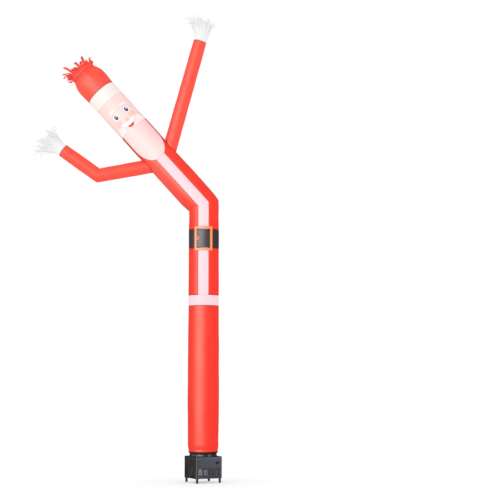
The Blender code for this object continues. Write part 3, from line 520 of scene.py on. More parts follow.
HIGHLIGHT_LOW = 1.95  # painted highlight: heights between which the red grows lighter
HIGHLIGHT_HIGH = 2.30
HIGHLIGHT_LEFT = 0.10  # the same round the coat, in metres from its front's middle
HIGHLIGHT_WIDTH = 0.35
LEAST_HIGHLIGHT = 0.2
BEARD_SIDE_SHADE_WIDTH = 0.055  # how far the painted shade reaches from the beard's sides
BEARD_SIDE_SHADE_START = BEARD_ROUND_TOP - 0.10
BEARD_SIDE_SHADE_GROWTH = 0.08
BAR_RIM = 0.0055
BEARD_SIDE_SHADE_STRENGTH = 0.75
RIM_STRENGTH = 0.75
BEARD_LIGHT_STRENGTH = 0.8
RIBBON_SHADES = (0.85, 0.25)  # most of a ribbon's shadow, by its strand and by the dye


def cloth_finish(name, tint, hem_shade, gloss, printed=None, shine=(1.0, 1.0, 1.0)):
    """Coated nylon: weave, uneven dye, crinkles, and painted shade that darkens the stitched hem along
    the edges.
    printed adds a print to the tint, from the tree and the cloth's own place."""
    settings = bpy.context.scene.dancer_cloth
    tree, shader = new_material(
        name,
        CLOTH_ROUGHNESS,
        Sheen_Weight=0.02,
        Sheen_Roughness=0.4,
        Specular_IOR_Level=gloss,
        Specular_Tint=(*shine, 1.0),
    )
    place = object_place(tree)
    cloth = add_node(tree, "ShaderNodeUVMap", uv_map="cloth").outputs[0]
    parts = split(tree, cloth)
    mottle = use_group(tree, "dye and crinkle", {"Vector": place})
    darker, lighter = (scaled_colour(tint, share) for share in DYE_RANGE)
    surface = blend_colour(tree, mottle["Shade"], darker, lighter)
    if printed:
        surface = printed(tree, cloth, surface)
    rows = []
    for mark, along in (("ring_edge", parts[0]), ("side_edge", parts[1])):
        inputs = {"Edge": point_mark(tree, mark), "Along": along}
        inputs.update({"Hem width": settings.hem_width, "Stitch length": settings.stitch_pitch})
        rows.append(use_group(tree, "stitched edge", inputs))
    hem = maths(tree, "MAXIMUM", rows[0]["Hem"], maths(tree, "MULTIPLY", rows[1]["Hem"], SIDE_HEM))
    thread = maths(tree, "MAXIMUM", rows[0]["Thread"], rows[1]["Thread"])
    surface = tinted(tree, surface, HEM_SHADOW, hem, 1 - hem_shade)
    surface = tinted(tree, surface, STITCH_SHADOW, thread, THREAD_SHADE)
    least = CLOTH_ROUGHNESS - CLOTH_UNEVEN / 2
    rough = maths(tree, "MULTIPLY_ADD", mottle["Shade"], CLOTH_UNEVEN, least)
    weave = use_group(tree, "plain weave", {"Vector": cloth})["Height"]
    raised = maths(tree, "MULTIPLY_ADD", thread, THREAD_RISE, maths(tree, "MULTIPLY", hem, HEM_RISE))
    normal = None
    for height, (depth, strength) in (
        (weave, WEAVE_BUMP),
        (mottle["Height"], CRINKLE_BUMP),
        (raised, EDGE_BUMP),
    ):
        normal = bump(tree, height, depth, strength, normal)
    link_finish(tree, shader, surface, rough, normal)


# The face's print, in metres from the front's middle and from the chin's seam: a plain smiling
# face of ovals, laid over one another in this order. Each row is for one oval, or for two whose
# turns mirror each other: tint, places across, height, half its size, turn, sharpness, strength.
PRINT_TINTS = {
    "blush": (0.93, 0.42, 0.37),
    "white": (0.99, 0.90, 0.88),
    "eye": (0.95, 0.93, 0.94),
    "iris": (0.060, 0.065, 0.16),
    "glint": (0.95, 0.95, 0.97),
    "lip": (0.72, 0.06, 0.05),
    "shade": (0.80, 0.50, 0.43),
}
FACE_PRINT = (
    ("blush", (-0.066,), 0.088, 0.030, 0.026, 0.0, 1.6, 0.30),
    ("blush", (0.066,), 0.088, 0.030, 0.026, 0.0, 1.6, 0.42),
    ("white", (-0.100, 0.100), 0.014, 0.040, 0.046, 0.35, 7.0, 1.0),
    ("white", (0.0,), -0.080, 0.130, 0.094, 0.0, 22.0, 1.0),
    ("lip", (0.0,), 0.0215, 0.0270, 0.0170, 0.0, 7.0, 1.0),
    ("white", (0.0,), 0.0400, 0.036, 0.0140, 0.0, 9.0, 1.0),
    ("white", (-0.030, 0.030), 0.048, 0.040, 0.0150, 0.34, 8.0, 1.0),
    ("shade", (0.0,), 0.072, 0.0190, 0.0165, 0.0, 3.0, 0.30),
    ("blush", (0.0,), 0.077, 0.0170, 0.0150, 0.0, 6.0, 0.45),
    ("shade", (-0.054, 0.054), 0.1425, 0.0265, 0.0320, 0.0, 5.0, 0.35),
    ("eye", (-0.054, 0.054), 0.140, 0.0240, 0.0290, 0.0, 12.0, 1.0),
    ("iris", (-0.052, 0.052), 0.139, 0.0150, 0.0200, 0.0, 9.0, 1.0),
    ("glint", (-0.0475, 0.0565), 0.1465, 0.0050, 0.0064, 0.0, 6.0, 1.0),
    ("white", (-0.056, 0.056), 0.194, 0.0330, 0.0105, -0.16, 6.0, 0.85),
)


def print_face(tree, cloth, surface):
    """Lays the face's ovals over one another in the order of the table."""
    for tint, places, height, half_width, half_height, turn, sharpness, strength in FACE_PRINT:
        for across in places:
            inputs = {
                "Vector": cloth,
                "Centre": (across, CHIN_SEAM + height, 0.0),
                "Size": (half_width, half_height, 1.0),
                "Turn": turn if across < 0 else -turn,
                "Edge strength": sharpness,
            }
            mask = use_group(tree, "printed oval", inputs)["Mask"]
            surface = tinted(tree, surface, PRINT_TINTS[tint], mask, strength)
    return surface


def print_leg_hem_shade(tree, cloth, surface):
    """Painted shade on the leg's lower edge, which is drawn in under the duct's lip and faces down."""
    shade_top = HEM_PROFILE[0][0] + LEG_HEM_SHADE_HEIGHT
    above = maths(tree, "SUBTRACT", split(tree, cloth)[1], shade_top)
    inside = maths(tree, "MULTIPLY_ADD", above, -LEG_HEM_SHADE_SHARPNESS, 0.5, clamp=True)
    return blend_colour(tree, inside, surface, LEG_HEM_SHADE)


def print_painted_highlight(tree, cloth, surface, most=1.0):
    """Painted highlight: the red is lighter from the waist's bend upwards, by its share at most."""
    high = maths(tree, "SUBTRACT", split(tree, object_place(tree))[2], HIGHLIGHT_LOW)
    share = maths(tree, "DIVIDE", high, HIGHLIGHT_HIGH - HIGHLIGHT_LOW, clamp=True)
    return tinted(tree, surface, tuple(bpy.context.scene.dancer_cloth.highlight_red), share, most)


def print_coat(tree, cloth, surface):
    """The painted highlight, weaker on the coat's right, and painted shade, a deeper red, along the
    beard's sides, where its seam pulls the coat in. The cloth's map starts at the stripe and runs round
    by the right."""
    across, along = split(tree, cloth)[:2]
    left = maths(tree, "MULTIPLY_ADD", across, 1 / HIGHLIGHT_WIDTH, -HIGHLIGHT_LEFT / HIGHLIGHT_WIDTH, clamp=True)
    most = maths(tree, "MULTIPLY_ADD", left, 1 - LEAST_HIGHLIGHT, LEAST_HIGHLIGHT)
    surface = print_painted_highlight(tree, cloth, surface, most)
    off = point_mark(tree, "side_edge")
    beside = maths(tree, "MULTIPLY_ADD", off, -1 / BEARD_SIDE_SHADE_WIDTH, 1.0, clamp=True)
    above = maths(tree, "DIVIDE", maths(tree, "SUBTRACT", along, BEARD_SIDE_SHADE_START), BEARD_SIDE_SHADE_GROWTH, clamp=True)
    share = maths(tree, "MULTIPLY", beside, above)
    return tinted(tree, surface, BEARD_SIDE_SHADE, share, BEARD_SIDE_SHADE_STRENGTH)


def print_beard_light(tree, cloth, surface):
    """Painted light: the beard's white is creamier on its left and pinker on its right, a painted
    bounce of the red coat's light, across its own cloth.
    """
    across = split(tree, cloth)[0]
    share = maths(tree, "MULTIPLY_ADD", across, 0.5 / BEARD_HALF_WIDTH, 0.5, clamp=True)
    shaded = blend_colour(tree, share, BEARD_LIT_CREAM, BEARD_BOUNCE_PINK)
    return blend_colour(tree, BEARD_LIGHT_STRENGTH, surface, shaded)


def print_buckle(tree, cloth, surface):
    """Lighter middle and redder rims on the buckle's flat bars, from the distance to their edges."""
    inwards = maths(tree, "DIVIDE", point_mark(tree, "bar_edge"), BAR_RIM)
    rim = maths(tree, "SUBTRACT", 1.0, inwards, clamp=True)
    return tinted(tree, surface, RIM_TINT, rim, RIM_STRENGTH)


def ribbon_finish(name, tint, shadow, glow):
    """Thin strips of the fringes: each strip a little lighter or darker, greyer towards its tip.
    glow stands for the room's light that comes through the thin cloth."""
    tree, shader = new_material(
        name, 0.60, Emission_Strength=glow, Emission_Color=(*tint, 1.0), Specular_IOR_Level=0.2
    )
    mottle = use_group(tree, "dye and crinkle", {"Vector": object_place(tree), "Crinkle": 60.0})
    surface = tint
    marks = (point_mark(tree, "strand_shade"), mottle["Shade"])
    for mark, most in zip(marks, RIBBON_SHADES):
        surface = tinted(tree, surface, shadow, mark, most)
    rough = maths(tree, "MULTIPLY_ADD", mottle["Shade"], 0.2, 0.5)
    link_finish(tree, shader, surface, rough, bump(tree, mottle["Height"], 0.0002, 0.5))


def plastic_finish(name, tint, roughness, dust=0.25, grain=900.0):
    """Moulded plastic: fine grain, a little dust that dulls it, and slightly uneven gloss."""
    tree, shader = new_material(name, roughness)
    grains = use_group(tree, "moulded grain", {"Vector": object_place(tree), "Grain": grain})
    dusty = maths(tree, "MULTIPLY", grains["Dust"], dust)
    rough = maths(tree, "MULTIPLY_ADD", grains["Dust"], 0.18, roughness)
    normal = bump(tree, grains["Height"], 0.00010, 0.6)
    link_finish(tree, shader, blend_colour(tree, dusty, tint, DUST_TINT), rough, normal)


def metal_finish(name, tint, roughness):
    """Drawn or turned metal: faint streaks round it, with uneven polish."""
    tree, shader = new_material(name, roughness, Metallic=1.0)
    inputs = {"Vector": object_place(tree), "Scale": (1.0, 1.0, 12.0)}
    drawn = add_node(tree, "ShaderNodeMapping", inputs).outputs[0]
    streak = noise(tree, drawn, 300.0, 2.0)
    surface = blend_colour(tree, streak, scaled_colour(tint, 0.82), tint)
    rough = maths(tree, "MULTIPLY_ADD", streak, 0.22, roughness - 0.1)
    link_finish(tree, shader, surface, rough, bump(tree, streak, 0.00005, 0.5))


# Each cloth's tint setting, the hem's share of its light under the painted seam shade, gloss, print and
# tint of its shine
CLOTH_FINISHES = {
    "coat nylon": ("red", 0.50, 0.50, print_coat, RED_SHINE),
    "upper nylon": ("red", 0.50, 0.26, print_painted_highlight, RED_SHINE),
    "leg nylon": ("red", 0.50, 0.50, print_leg_hem_shade, RED_SHINE),
    "trim nylon": ("white", 0.97, 0.15),
    "beard nylon": ("beard", 0.97, 0.15, print_beard_light),
    "hat trim nylon": ("trim", 0.98, 0.15),
    "face nylon": ("skin", 0.98, 0.15, print_face),
    "belt nylon": ("black", 0.90, 0.54),
    "buckle nylon": ("gold", 1.0, 0.50, print_buckle),
}
# Each plastic's tint, roughness, dust and grains to a metre, and each metal's tint and roughness
PLASTIC_FINISHES = {
    "switch plastic": ((0.012, 0.012, 0.014), 0.30, 0.1),
    "rocker plastic": ((0.014, 0.014, 0.016), 0.22, 0.05),
    "fan plastic": ((0.10, 0.10, 0.11), 0.50),
    "lens plastic": ((0.90, 0.90, 0.90), 0.18, 0.0),
    "foot rubber": ((0.006, 0.006, 0.007), 0.70, 0.12, 1500.0),
}
METAL_FINISHES = {
    "motor steel": ((0.45, 0.46, 0.47), 0.38),
    "guard wire": ((0.55, 0.56, 0.57), 0.34),
    "lamp plating": ((0.75, 0.76, 0.78), 0.25),
}


class DANCER_OT_finishes(bpy.types.Operator):
    """Makes the shared node groups and every material"""

    bl_idname = "dancer.finishes"
    bl_label = "Materials"

    def execute(self, context):
        cloth, fringe = context.scene.dancer_cloth, context.scene.dancer_fringe
        blower = context.scene.dancer_blower
        make_weave_group()
        make_mottle_group()
        make_stitch_group()
        make_oval_group()
        make_grain_group()
        for name, (tint, *rest) in CLOTH_FINISHES.items():
            cloth_finish(name, tuple(getattr(cloth, tint)), *rest)
        # The hat's ribbons take the painted-highlight red all over
        ribbon_finish("hat ribbon", tuple(cloth.highlight_red), (0.50, 0.055, 0.050), 0.10)
        ribbon_finish("hand ribbon", tuple(fringe.white), (0.52, 0.535, 0.53), 0.50)
        plastic_finish("housing plastic", tuple(blower.black), 0.42)
        plastic_finish("duct plastic", tuple(blower.duct_black), 0.30)
        for name, values in PLASTIC_FINISHES.items():
            plastic_finish(name, *values)
        for name, values in METAL_FINISHES.items():
            metal_finish(name, *values)
        return {"FINISHED"}


# --- The three tubes ---
Limb = namedtuple("Limb", "x z heading_before heading_after reach")


def heading_vector(heading):
    return np.array((-math.sin(heading), 0.0, math.cos(heading)))


def limb_points(limb, station, angle, radius):
    """Points of a tube that is straight but for one bend. A point is the bend's corner, plus its
    station along the heading, plus radius times sine of the angle across in the XZ plane, minus
    radius times cosine of the angle in Y. Near the bend a point's station shifts by its distance
    across times the tangent of half the bend, so that the rows turn into the mitre."""
    station, angle, radius = np.broadcast_arrays(station, angle, radius)
    heading = np.where(station < 0, limb.heading_before, limb.heading_after)
    across = radius * np.sin(angle)
    turn = np.maximum(0.0, 1.0 - np.abs(station) / limb.reach)
    shift = turn * across * math.tan((limb.heading_after - limb.heading_before) / 2)
    along = np.where(station < 0, station + shift, station - shift)
    x = limb.x - np.sin(heading) * along + np.cos(heading) * across
    z = limb.z + np.cos(heading) * along + np.sin(heading) * across
    return np.stack((x, -radius * np.cos(angle), z), -1)


BODY = Limb(0.0, BEND_HEIGHT, 0.0, LEAN, 0.16)
SHOULDER_POINT = np.array((0.0, 0.0, BEND_HEIGHT)) + heading_vector(LEAN) * SHOULDER
ELBOW_POINT = SHOULDER_POINT + heading_vector(UPPER_ARM_HEADING) * UPPER_ARM_LENGTH
RAISED_ARM = Limb(SHOULDER_POINT[0], SHOULDER_POINT[2], RAISED_HEADING, RAISED_HEADING, 1.0)
BENT_ARM = Limb(ELBOW_POINT[0], ELBOW_POINT[2], UPPER_ARM_HEADING, FOREARM_HEADING, 0.09)


def ring_angles(columns):
    """Angles of a closed band's columns, from its back round by its right."""
    return -math.pi + TAU * np.arange(columns)[None, :] / columns


def body_radius(station):
    """The waist radius, growing smoothly to the lower radius below it and to the upper one above."""
    below = smooth_step((WAIST_LOW - station) / WAIST_LENGTH)
    above = smooth_step((station - WAIST_LOW) / (2 * WAIST_LENGTH))
    lower, upper = LOWER_RADIUS - WAIST_RADIUS, UPPER_RADIUS - WAIST_RADIUS
    return WAIST_RADIUS + lower * below + upper * above


def front_half_angle(station):
    """Half the angle of the white front pieces: the stripe, widening to the beard along an ellipse."""
    down = np.clip((BEARD_ROUND_TOP - station) / BEARD_ROUND_LENGTH, 0.0, 1.0)
    rounded = BEARD_HALF_WIDTH * np.sqrt(1 - down * down)
    return np.arcsin(np.maximum(STRIPE_HALF_WIDTH, rounded) / body_radius(station))


def billows(station, angle, waves):
    """Wide waves over a tube: each a sine of its pitches along and of its turns round it."""
    return sum(
        share * np.sin(TAU * station / pitch + turns * angle + start)
        for share, pitch, turns, start in waves
    )


def ripple(angle, seed, waves=(27, 38, 55, 71)):
    """An uneven ripple of about -1 to 1 that closes on itself round a tube: cosines with whole
    numbers of waves, each with its own start."""
    total = sum(np.cos(count * angle + seed * (2.1 + 1.7 * k)) for k, count in enumerate(waves))
    return total / len(waves) * 1.6


def long_ripple(station, seed):
    """The same along a seam that runs the length of a tube, with waves of 13 to 29 mm."""
    pitches = (0.013, 0.0175, 0.023, 0.029)
    return sum(np.cos(TAU * station / p + seed * (1.3 + k)) for k, p in enumerate(pitches)) / 2.6


BODY_BILLOWS = ((0.55, 0.43, 2, 1.1), (0.45, 0.27, -3, 0.4))

# Seams across the body: how strongly each draws in and puckers, and how far that reaches
Seam = namedtuple("Seam", "station draw pucker seed")
BODY_SEAMS = (
    Seam(HEM_BAND_BOTTOM, 1.0, 0.9, 1.0),
    Seam(HEM_BAND_TOP, 1.0, 0.8, 2.3),
    Seam(BELT_BOTTOM, 0.9, 1.0, 3.1),
    Seam(BELT_TOP, 0.9, 1.2, 4.7),
    Seam(CHIN_SEAM, 0.8, 0.7, 5.9),
    Seam(HAT_BAND_BOTTOM, 0.9, 0.7, 6.4),
    Seam(HAT_BAND_TOP, 1.1, 1.0, 7.2),
)
DRAW_REACH = 0.0055
PUCKER_REACH = 0.016
# The same for seams along a tube: heights, with how far they reach beside the seam
STRIPE_DRAW = (0.0010, 0.0035)
STRIPE_PUCKER = (0.00038, 0.010)
BACK_PUCKER = (0.0003, 0.012)
BACK_GROOVE = 0.0009
BACK_GROOVE_WIDTH = 0.0022
BACK_WELT = 0.0006
BACK_WELT_WIDTH = 0.010
BACK_WELT_EDGE = 0.004

SHOULDER_FOLDS = 9
SHOULDER_FOLD_DEPTH = 0.0011
SHOULDER_REACH = 0.022
SHOULDER_ONSET = 0.06

# Creases inside the waist's bend: each trough's station, its depth as a share, its half width
Crease = namedtuple("Crease", "station depth half_width")
WAIST_CREASES = (
    Crease(-0.052, 0.18, 0.012),
    Crease(-0.017, 0.70, 0.009),
    Crease(0.010, 1.00, 0.008),
    Crease(0.036, 0.34, 0.011),
    Crease(0.074, 0.12, 0.016),
)
# The softened corner outside the bend: stations and how far the cloth stands out there
WAIST_OUTER = (
    (-0.16, 0.0), (-0.085, 0.0), (-0.035, -0.0008),
    (0.0, -0.0042), (0.035, -0.0008), (0.09, 0.0),
)


def fading(off, height, reach):
    """A height that fades beside a seam, times e to the power of minus the distance by the reach."""
    return height * np.exp(-off / reach)


def crease_relief(station, creases):
    """A row of rounded troughs: each falls off as a bell curve of the distance along the tube."""
    return sum(c.depth * np.exp(-(((station - c.station) / c.half_width) ** 2)) for c in creases)


def from_sleeve(points, heading):
    """Distance of points, given from the shoulder point, along a sleeve's axis, and their offsets
    from that axis."""
    along = heading_vector(heading)
    out = points @ along
    return out, points - out[..., None] * along


def shoulder_relief(station, angle, radius):
    """Small folds on the coat that run out from the sleeves' roots and fade away from them."""
    points = limb_points(BODY, station, angle, radius) - SHOULDER_POINT
    total = 0.0
    for seed, heading in ((1.0, RAISED_HEADING), (2.0, UPPER_ARM_HEADING)):
        out, off = from_sleeve(points, heading)
        distance = np.linalg.norm(off, axis=-1) - SLEEVE_ROOT_RADIUS
        round_it = np.arctan2(off[..., 1], off @ heading_vector(heading + math.pi / 2))
        near = np.exp(-np.abs(distance) / SHOULDER_REACH) * smooth_step(out / SHOULDER_ONSET)
        folds = 0.55 + 0.45 * np.cos(SHOULDER_FOLDS * round_it + seed)
        total = total - SHOULDER_FOLD_DEPTH * near * folds
    return total


def body_relief(station, angle, radius):
    """How far the body's cloth stands in or out of the plain tube: wide billows, seams that draw in
    and pucker, creases inside the waist's bend and a softened corner outside it."""
    cloth = bpy.context.scene.dancer_cloth
    total = cloth.billow * billows(station, angle, BODY_BILLOWS)
    for seam in BODY_SEAMS:
        off = np.abs(station - seam.station)
        total = total - fading(off, cloth.seam_draw * seam.draw, DRAW_REACH)
        pucker = fading(off, cloth.pucker * seam.pucker, PUCKER_REACH)
        total = total + pucker * ripple(angle, seam.seed)
    inner = np.maximum(0.0, -np.sin(angle))
    outer = np.maximum(0.0, np.sin(angle))
    total = total - cloth.waist_crease * crease_relief(station, WAIST_CREASES) * inner**1.6
    total = total + smooth_table(station, WAIST_OUTER) * outer**1.3
    return total + shoulder_relief(station, angle, radius)


def stripe_relief(station, side):
    """The seams beside the stripe and beard draw in by a little and pucker along their length."""
    off = np.abs(side)
    return fading(off, *STRIPE_PUCKER) * long_ripple(station, 1.7) - fading(off, *STRIPE_DRAW)


def back_relief(off, station):
    """The seam up a tube's back: a fine groove between two flat, slightly raised allowances."""
    groove = -BACK_GROOVE * np.exp(-((off / BACK_GROOVE_WIDTH) ** 2))
    welt = BACK_WELT * smooth_step((BACK_WELT_WIDTH - off) / BACK_WELT_EDGE)
    return groove + welt + fading(off, *BACK_PUCKER) * long_ripple(station, 4.2)


# --- Panels ---
def seam_rows(low, high, pitch=0.009):
    """Rows of a panel, close together beside its seams, and evenly spaced between."""
    near = np.array((0.0, 0.0018, 0.0038, 0.0062, 0.0095, 0.0135, 0.0185, 0.0250))
    low, high = low + SEAM_GAP / 2, high - SEAM_GAP / 2
    count = max(2, round((high - low - 2 * near[-1]) / pitch))
    between = np.linspace(low + near[-1], high - near[-1], count + 1)[1:-1]
    return np.concatenate((low + near, between, (high - near)[::-1]))


def panel(name, station, angle, radius, closed, edges, limb=BODY, keep=None, marks=None):
    """A sheet on a limb from a grid of stations, angles and radii, without the cells that keep
    leaves out. Its map is metres round the limb from the front and along it. edges are the
    distances to its ring seams and its side seams, and marks are more values of its points."""
    station, angle, radius = (np.asarray(a, float) for a in np.broadcast_arrays(station, angle, radius))
    points = limb_points(limb, station, angle, radius)
    faces = grid_faces(*station.shape, closed)
    map_radius = float(radius.mean())
    across, along = angle * map_radius, station
    if closed:
        across = np.concatenate((across, across[:, :1] + TAU * map_radius), 1)
        along = np.concatenate((station, station[:, :1]), 1)
    cells = grid_faces(*across.shape, False)
    if keep is not None:
        faces, cells = faces[keep.reshape(-1)], cells[keep.reshape(-1)]
    cloth_map = [values.reshape(-1)[cells] for values in (across, along)]
    marks = {"ring_edge": edges[0], "side_edge": edges[1], **(marks or {})}
    marks = {mark: np.broadcast_to(values, station.shape) for mark, values in marks.items()}
    made = new_object(name, points, faces, cloth_map, marks)
    thicken(made, bpy.context.scene.dancer_cloth.thickness)
    return made


def ends_distance(rows):
    """Distance of each row from the nearer end of a panel."""
    return np.minimum(rows - rows[0], rows[-1] - rows)[:, None]


def ring_panel(name, rows, columns=132, profile=None, extra=None, ends=None):
    """A closed band of the body, sewn up at the back. profile is a table of its plain radius, if
    that isn't the body's, and extra gives more relief from the stations and angles. ends is the
    distance to the hemmed ends."""
    station, angle = rows[:, None], ring_angles(columns)
    plain = smooth_table(station, profile) if profile else body_radius(station)
    back = (math.pi - np.abs(angle)) * UPPER_RADIUS
    radius = plain + body_relief(station, angle, plain) + back_relief(back, station)
    if extra:
        radius = radius + extra(station, angle)
    ends = ends_distance(rows) if ends is None else ends
    return panel(name, station, angle, radius, True, (ends, back))


def side_distance(station, angle):
    """Distance from the seams beside the white front pieces, square to the seam, plus outside."""
    half = front_half_angle(station)
    radius = body_radius(station)
    step = 0.0005
    slope = (front_half_angle(station + step) - front_half_angle(station - step)) * radius / (2 * step)
    turned = np.where(angle > math.pi, TAU - angle, np.abs(angle))
    return (turned - half) * radius / np.sqrt(1 + slope * slope)


def side_panel(name, rows, columns, front, keep=None):
    """A sheet of the body between the white front's seams: in the middle of the front, or round the
    sides and back, in even steps of the angle from one seam to the other at each station."""
    station = rows[:, None]
    plain = body_radius(station)
    half, gap = front_half_angle(station), SEAM_GAP / plain
    if front:
        angle = (half - gap) * np.linspace(-1, 1, columns)[None, :]
    else:
        angle = half + gap + (TAU - 2 * (half + gap)) * np.linspace(0, 1, columns)[None, :]
    side = side_distance(station, angle)
    radius = plain + body_relief(station, angle, plain) + stripe_relief(station, side)
    kept = keep(station, angle, radius) if keep else None
    edges = (ends_distance(rows), -side if front else side)
    return panel(name, station, angle, radius, False, edges, keep=kept)


def beard_rows():
    """Rows up the beard's round lower edge, evenly spaced along its quarter ellipse, and on up."""
    first = math.asin(STRIPE_HALF_WIDTH / BEARD_HALF_WIDTH)
    turn = np.linspace(first, math.pi / 2, 30)
    edge = BEARD_ROUND_TOP - BEARD_ROUND_LENGTH * np.cos(turn)
    above = seam_rows(BEARD_ROUND_TOP, CHIN_SEAM)
    return np.concatenate((edge, above[above > BEARD_ROUND_TOP + 0.006]))


def open_at_shoulders(station, angle, radius):
    """Which cells of the coat stay: those not inside a sleeve's root."""
    points = limb_points(BODY, station, angle, radius)
    across = (points[:, :-1] + points[:, 1:]) / 2
    middle = (across[:-1] + across[1:]) / 2 - SHOULDER_POINT
    kept = np.ones(middle.shape[:2], bool)
    for heading in (RAISED_HEADING, UPPER_ARM_HEADING):
        out, off = from_sleeve(middle, heading)
        kept &= (out < 0) | (np.linalg.norm(off, axis=-1) > SLEEVE_ROOT_RADIUS - 0.009)
    return kept


LEG_HEM_SHADE_HEIGHT = 0.0155  # of the painted shade on the leg's drawn-in lower edge
LEG_HEM_SHADE_SHARPNESS = 400.0
HEM_GATHER = 0.0011  # height of the hem's gathers, where it is most and how far it reaches
HEM_GATHER_PEAK = 0.012
HEM_GATHER_REACH = 0.05
HEM_CRINKLE = 0.0002
HAT_GATHER_START = 1.235
HAT_FOLD = 0.0018
HAT_CRINKLE = 0.0013

# The hem round the duct's lip, and the hat: stations with their radii
LIP_START, LIP_END = LIP_LOW - BEND_HEIGHT, LIP_TOP - BEND_HEIGHT
HEM_PROFILE = (
    (LIP_START - 0.0070, LIP_RADIUS - 0.0036),
    (LIP_START - 0.0020, LIP_RADIUS + 0.0012),
    (LIP_START + 0.0030, LIP_RADIUS + 0.0032),
    (LIP_END - 0.0010, LIP_RADIUS + 0.0036),
    (LIP_END + 0.0100, LIP_RADIUS + 0.0058),
    (LIP_END + 0.0240, LOWER_RADIUS - 0.0008),
    (LIP_END + 0.0650, LOWER_RADIUS),
    (LIP_END + 1.2000, LOWER_RADIUS),
)
HAT_PROFILE = (
    (HAT_BAND_TOP, UPPER_RADIUS),
    (1.215, 0.1228),
    (1.260, 0.1258),
    (1.300, 0.1262),
    (1.335, 0.1215),
    (1.362, 0.1120),
    (HAT_TOP, 0.1010),
)


def hem_gathers(station, angle):
    """The drawn-in hem gathers just above the duct's lip, and hardly at all where it is tight."""
    above = np.maximum(0.0, station - LIP_END)
    share = above / HEM_GATHER_PEAK
    height = HEM_GATHER * share * np.exp(1 - share) * np.exp(-above / HEM_GATHER_REACH)
    wide, fine = ripple(angle, 8.8, (23, 34, 47, 61)), ripple(angle, 3.3, (47, 61, 83))
    return height * wide + HEM_CRINKLE * fine


def hat_gathers(station, angle):
    """Folds that run down from the hat's gathered top and fade towards its band."""
    near = smooth_step((station - HAT_GATHER_START) / (HAT_TOP - HAT_GATHER_START))
    wide = ripple(angle, 2.9, (9, 14, 19))
    fine = ripple(angle, 6.1, (23, 31, 44))
    return near * (HAT_FOLD * wide + HAT_CRINKLE * fine)


def sew_band(made, slot, finish, node):
    """Places a closed band with its finish, in place of its node."""
    place_sheet(made, slot, finish, (node,))


class DANCER_OT_leg(bpy.types.Operator):
    """Builds the leg tube, drawn in round the duct's lip, and the white band above it"""

    bl_idname = "dancer.leg"
    bl_label = "Leg and hem band"

    def execute(self, context):
        bottom = HEM_PROFILE[0][0]
        low = (0.0, 0.003, 0.006, 0.009, 0.0125, 0.017, 0.022, 0.027, 0.032, 0.037, 0.043, 0.050)
        rest = seam_rows(bottom + 0.055, HEM_BAND_BOTTOM)
        rows = np.concatenate((bottom + np.array(low), rest[rest > bottom + 0.056]))
        leg = ring_panel("leg_tube", rows, profile=HEM_PROFILE, extra=hem_gathers)
        sew_band(leg, "red_nylon", "leg nylon", "leg")
        rows = seam_rows(HEM_BAND_BOTTOM, HEM_BAND_TOP, 0.006)
        band = ring_panel("leg_band", rows)
        sew_band(band, "white_nylon", "trim nylon", "hem_band")
        return {"FINISHED"}


class DANCER_OT_coat(bpy.types.Operator):
    """Builds the red coat below and above the belt, its white stripe, the belt and the beard"""

    bl_idname = "dancer.coat"
    bl_label = "Coat, stripe, belt and beard"

    def stripe(self, name, rows, node, under):
        """Builds one length of the white stripe."""
        made = side_panel(name, rows, 20, front=True)
        place_sheet(made, "white_nylon", "trim nylon", (node,))

    def execute(self, context):
        rows = seam_rows(HEM_BAND_TOP, BELT_BOTTOM)
        skirt = side_panel("coat_below_belt", rows, 112, front=False)
        place_sheet(skirt, "red_nylon", "coat nylon", ("coat_skirt",))
        self.stripe("stripe_below_belt", rows, "skirt_stripe", "leg_band")
        rows = seam_rows(BELT_BOTTOM, BELT_TOP, 0.006)
        belt = ring_panel("belt_band", rows)
        sew_band(belt, "black_nylon", "belt nylon", "belt")

        beard_up = beard_rows()
        lower = seam_rows(BELT_TOP, beard_up[0], 0.0065)
        lower = lower[lower < beard_up[0] - 0.004]
        rows = np.concatenate((lower, beard_up))
        coat = side_panel("coat_above_belt", rows, 128, False, open_at_shoulders)
        nodes = ("coat_waist", "coat_lean", "coat")
        place_sheet(coat, "red_nylon", "coat nylon", nodes)
        rows = np.append(lower, beard_up[0] - SEAM_GAP)
        self.stripe("stripe_above_belt", rows, "coat_stripe", "belt_band")
        beard = side_panel("beard_panel", beard_up, 60, front=True)
        place_sheet(beard, "white_nylon", "beard nylon", ("beard",))
        return {"FINISHED"}


class DANCER_OT_head(bpy.types.Operator):
    """Builds the printed face, the hat's white band and the red hat with its gathered top"""

    bl_idname = "dancer.head"
    bl_label = "Face and hat"

    def execute(self, context):
        rows = seam_rows(CHIN_SEAM, HAT_BAND_BOTTOM)
        face = ring_panel("face_panel", rows)
        sew_band(face, "skin_nylon", "face nylon", "face")
        rows = seam_rows(HAT_BAND_BOTTOM, HAT_BAND_TOP, 0.006)
        band = ring_panel("hat_trim", rows)
        sew_band(band, "white_nylon", "hat trim nylon", "hat_band")
        rows = seam_rows(HAT_BAND_TOP, HAT_TOP, 0.005)
        from_brim = (rows - rows[0])[:, None]
        hat = ring_panel("hat_top", rows, 168, HAT_PROFILE, hat_gathers, from_brim)
        sew_band(hat, "red_nylon", "upper nylon", "hat")
        return {"FINISHED"}


